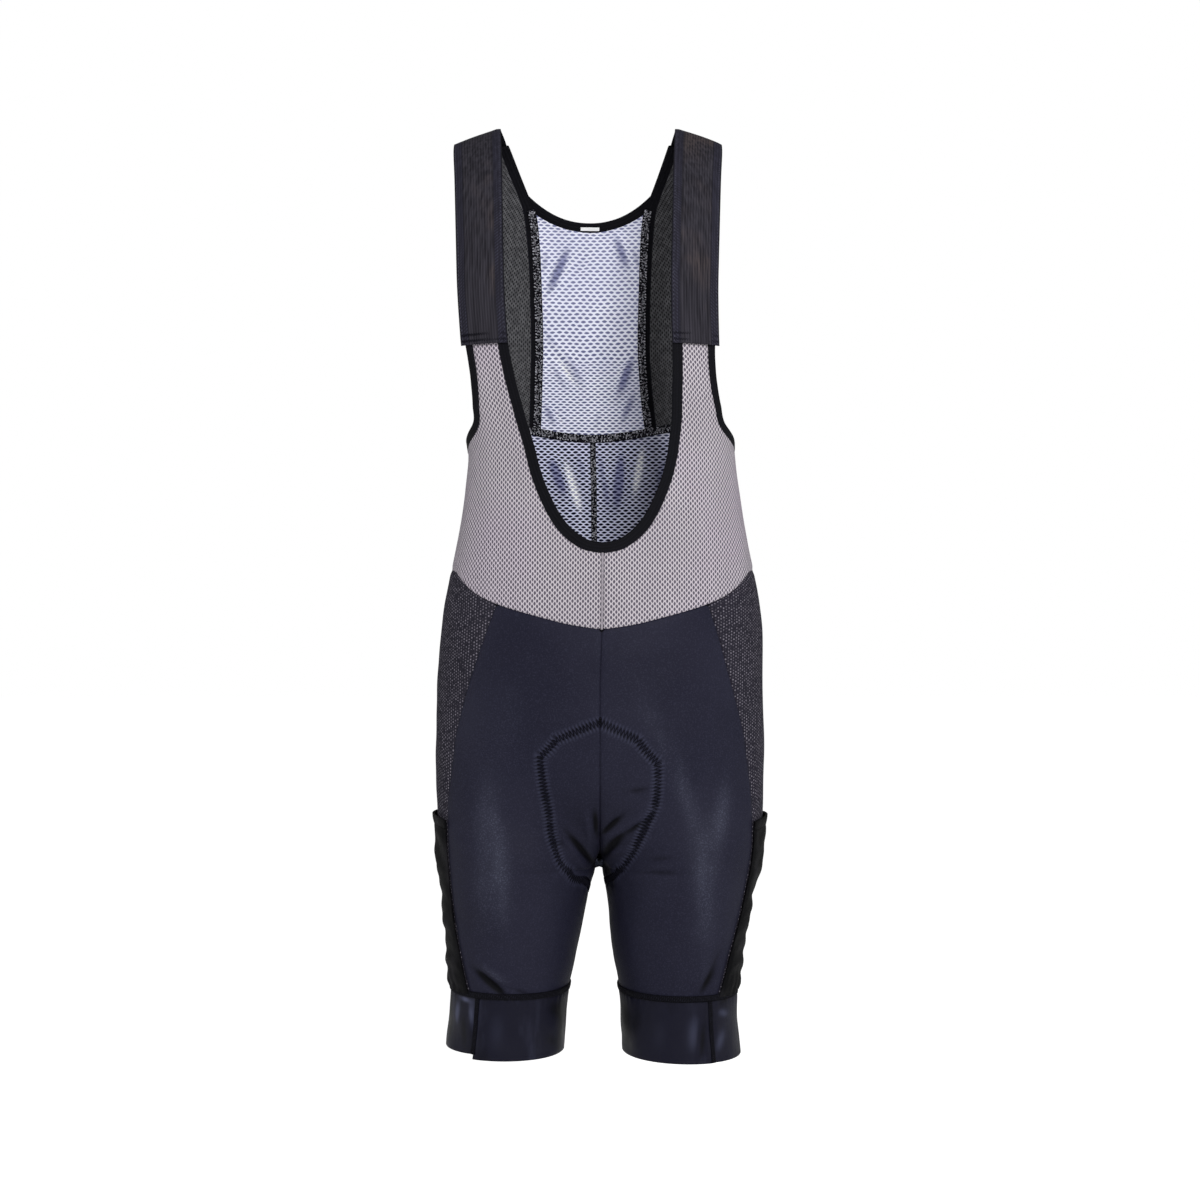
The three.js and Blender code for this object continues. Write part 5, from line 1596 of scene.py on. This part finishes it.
def pocket_proud(base):
    """How far the pocket stands off: most at its mouth, in slack waves below, and gathered at the bottom."""

    def proud(places, rows):
        crown = np.sin(np.pi * rows / rows[:, -1:])
        depth = np.clip((POCKET_TOP_Z - places[..., 1]) / (POCKET_TOP_Z - LEG_SEAM_Z), 0, 1)
        slack = 1.2 * np.sin(2 * np.pi * 3.3 * depth + 1.1 + 1.5 * np.sin(rows / 18)) * np.sin(np.pi * depth)
        creases = 0.9 * depth * np.sin(2 * np.pi * 9.5 * depth + 2.2 * np.sin(rows / 13) + rows / 21)
        gathers = 0.8 * np.sin(rows / 1.9) * smooth((depth - 0.8) / 0.2)
        return base + crown * (2.2 * (1 - depth) + slack + creases + gathers)

    return proud


def pocket_lines(start_level, end_level):
    front, back = side_seam(start_level, end_level), side_seam(start_level, end_level, True)
    return (straight(front(0), back(0)), straight(front(1), back(1)), front, back)


def make_pocket(word, side):
    hem_level = POCKET_TOP_Z - POCKET_HEM
    cloth(f"pocket_bag_{word}", pocket_lines(hem_level, LEG_SEAM_Z), 70, 100, finishes["pocket"],
          f"pocket_{word}", side, surface=leg(side),
          proud=pocket_proud(POCKET_STAND + CLOTH), folds=False, uneven=0.9)
    hem = cloth(f"pocket_edge_{word}", pocket_lines(POCKET_TOP_Z, hem_level), 70, 8, finishes["pocket"],
                f"pocket_hem_{word}", side, surface=leg(side),
                proud=pocket_proud(POCKET_STAND + CLOTH + 0.5), seams="bottom", folds=False, thick=2.2,
                uneven=0.2)
    sewn_on.setdefault(f"pocket_bag_{word}", []).append(hem)


# Leg bands, with the flat seam that shows above them


def band_gathers(places, rows):
    """Small gathers below the seam that joins the band to the leg."""
    below = LEG_SEAM_Z - places[..., 1]
    return 0.5 * np.sin(2 * np.pi * rows / 7.5 + 1.5 * np.sin(rows / 23)) * np.exp(-((below / 9) ** 2))


def band_tone(points):
    return {"tone": (points[..., 1] < 0) * fold_lift(BAND_TONES, points[..., 0], points[..., 2])}


def make_bands(word, side):
    around = leg(side)
    stepped_hem = HEM_Z + (HEM_STEP if side < 0 else 0.5)
    for name, start, end, start_hem, count in (
        ("front", 0, band_seam_share, HEM_Z, 64),
        ("back", band_seam_share, 1, stepped_hem, 90),
    ):
        lines = (
            straight((start, LEG_SEAM_Z), (end, LEG_SEAM_Z)),
            straight((start, start_hem), (end, HEM_Z)),
            straight((start, LEG_SEAM_Z), (start, start_hem)),
            straight((end, LEG_SEAM_Z), (end, HEM_Z)),
        )
        cloth(f"band_{name}_{word}", lines, count, 34, finishes["band"],
              f"leg_band_{name}_{word}", side, surface=around, proud=band_gathers, seams="top start end",
              uneven=0.6, folds=False, tone=band_tone)
    ring = mirrored(straight((0, LEG_SEAM_Z), (1, LEG_SEAM_Z)), side)
    ribbon(f"band_top_seam_{word}", ring, 6.2, 2.2, finishes["flat_seam"], f"band_front_{word}",
           surface=around, height=0.2, steps=280, wave=0.4)
    for name, share, low, height in (
        ("outer", band_seam_share, stepped_hem, -0.2),
        ("inner", 0, HEM_Z + 1, -1.9),
    ):
        line = mirrored(straight((share, LEG_SEAM_Z), (share, low)), side)
        ribbon(f"band_{name}_seam_{word}", line, 4.6, 1.4, finishes["flat_seam"], f"band_front_{word}",
               surface=around, height=height, steps=40, wave=0.2)


# Seat pad


def pad_half(outline, top_z, facing):
    share = 0 if facing < 0 else 1
    lowest = np.array([share, PAD_LOWEST])
    places = [shorts_at(x, z, facing) for x, z in outline]
    corner = places[0] if facing < 0 else places[-1]
    edge = line_through(places + [lowest] if facing < 0 else [lowest] + places)
    centre_top, crotch = (share, top_z), (share, CROTCH_Z)
    far, under = straight(centre_top, corner), straight(crotch, lowest)
    if facing < 0:
        return (far, under, straight(centre_top, crotch), edge)
    return (under, far, straight(crotch, centre_top), edge)


def make_pad():
    front = patch(*pad_half(PAD_FRONT, PAD_TOP["front"], -1), 24, 44, 1.6)
    back = patch(*pad_half(PAD_BACK, PAD_TOP["back"], 1), 24, 44, 1.6)
    half = leg(1)(np.concatenate([front, back[1:]]))
    points = np.concatenate([half[:, 1:][:, ::-1] * (-1, 1, 1), half], axis=1)
    normal = np.cross(np.gradient(points, axis=0), np.gradient(points, axis=1))
    normal /= np.linalg.norm(normal, axis=-1, keepdims=True)
    rows, columns = points.shape[0] - 1, points.shape[1] - 1
    j, i = np.mgrid[0 : rows + 1, 0 : columns + 1]
    outer = points - normal * (CLOTH + 3.0)
    piece, row, column = mesh_from_grid("pad", outer, np.stack([i * 3.0, j * 3.0], -1).astype(float))
    crown = np.sqrt(np.sin(np.pi * j / rows) * np.sin(np.pi * i / columns))
    channel = 1 - 0.45 * np.exp(-(((i - columns / 2) / 1.6) ** 2)) * smooth((j / rows - 0.12) / 0.2)
    fullness = np.clip((1.6 + 5.4 * crown * channel) / 7.0, 0, 1)[row, column]
    group = piece.vertex_groups.new(name="fullness")
    for vertex, weight in enumerate(fullness):
        group.add([vertex], float(weight), "REPLACE")
    face_like(piece, normal[row, column])
    foam = piece.modifiers.new("foam", "SOLIDIFY")
    foam.thickness = 7 * MM
    foam.offset = -1
    foam.vertex_group = "fullness"
    dress(piece, finishes["pad"], "seat_pad")


for word, side in SIDES:
    make_bib(word, side)
    make_strap(word, side)
    make_back_strap(word, side)
    make_lower_back(word, side)
    make_shorts(word, side)
    make_pocket(word, side)
    make_bands(word, side)
make_upper_back()
make_pad()
binding("neck_binding", neck_both_ways(neck_opening), neck_both_ways(neck_mesh_edge), "neckline_binding",
        "bib_left", 340, laps=(0, BINDING_LAP))

# Seams on the middle line, and round the waist
front_waist, back_waist = (0, float(waist_level(0))), (1, float(waist_level(1)))
SEAM_END_Z = CROTCH_Z + 18
SEAM_HEIGHTS = {"overlock": -2.5, "flat_seam": -1.9, "grey_seam": -0.4}
for name, line, width, finish, on, steps in (
    ("centre_back_seam", straight((1, BACK_SEAM_Z), back_waist), 6, "overlock", "lower_back_left", 120),
    ("centre_bib_seam", straight(neck_mesh_edge(0), front_waist), 2.2, "grey_seam", "bib_left", 60),
    ("waist_seam", waist_line(-1, 1), 6, "flat_seam", "leg_front_left", 420),
    ("centre_front_seam", straight(front_waist, (0, SEAM_END_Z)), 5, "flat_seam", "leg_front_left", 180),
    ("centre_seat_seam", straight(back_waist, (1, SEAM_END_Z)), 5, "flat_seam", "leg_back_left", 180),
):
    ribbon(name, line, width, 1.8, finishes[finish], on, height=SEAM_HEIGHTS[finish], steps=steps)

# Floor and light
bm = bmesh.new()
bmesh.ops.create_grid(bm, x_segments=1, y_segments=1, size=12)
bmesh.ops.translate(bm, verts=bm.verts, vec=(0, 0, -1.15))
floor_mesh = bpy.data.meshes.new("floor")
bm.to_mesh(floor_mesh)
bm.free()
floor = bpy.data.objects.new("floor", floor_mesh)
bpy.context.scene.collection.objects.link(floor)
floor_finish = Finish("pale floor", (252, 252, 252), 0.9)
floor_finish.set("Emission Color", (1, 1, 1, 1))
seen = floor_finish.node("ShaderNodeLightPath").outputs["Is Camera Ray"]
floor_finish.set("Emission Strength", floor_finish.ramp(seen, 0.0, 1.0, 0.0, 0.6))
floor_mesh.materials.append(floor_finish.material)

# The walls of the studio are white to the eye and give a softer light
world = bpy.data.worlds.new("studio")
world.use_nodes = True
walls = world.node_tree.nodes["Background"]
walls.inputs[0].default_value = (1, 1, 1, 1)
seen = world.node_tree.nodes.new("ShaderNodeLightPath")
strength = world.node_tree.nodes.new("ShaderNodeMapRange")
strength.inputs["To Min"].default_value = 0.42
world.node_tree.links.new(seen.outputs["Is Camera Ray"], strength.inputs["Value"])
world.node_tree.links.new(strength.outputs[0], walls.inputs[1])
bpy.context.scene.world = world


def soft_light(name, place, aim, size, power):
    data = bpy.data.lights.new(name, "AREA")
    data.shape = "RECTANGLE"
    data.size, data.size_y = size
    data.energy = power
    light = bpy.data.objects.new(name, data)
    light.location = place
    light.rotation_euler = (Vector(aim) - Vector(place)).to_track_quat("-Z", "Y").to_euler()
    bpy.context.scene.collection.objects.link(light)


soft_light("key", (0.55, -2.25, 0.45), (0, 0, -0.4), (0.7, 0.7), 45)
soft_light("left_strip", (-1.7, -0.3, -0.3), (0, 0, -0.5), (0.4, 1.6), 7)
soft_light("right_strip", (1.7, -0.3, -0.3), (0, 0, -0.5), (0.4, 1.6), 6)
bpy.context.scene.view_settings.view_transform = "Standard"
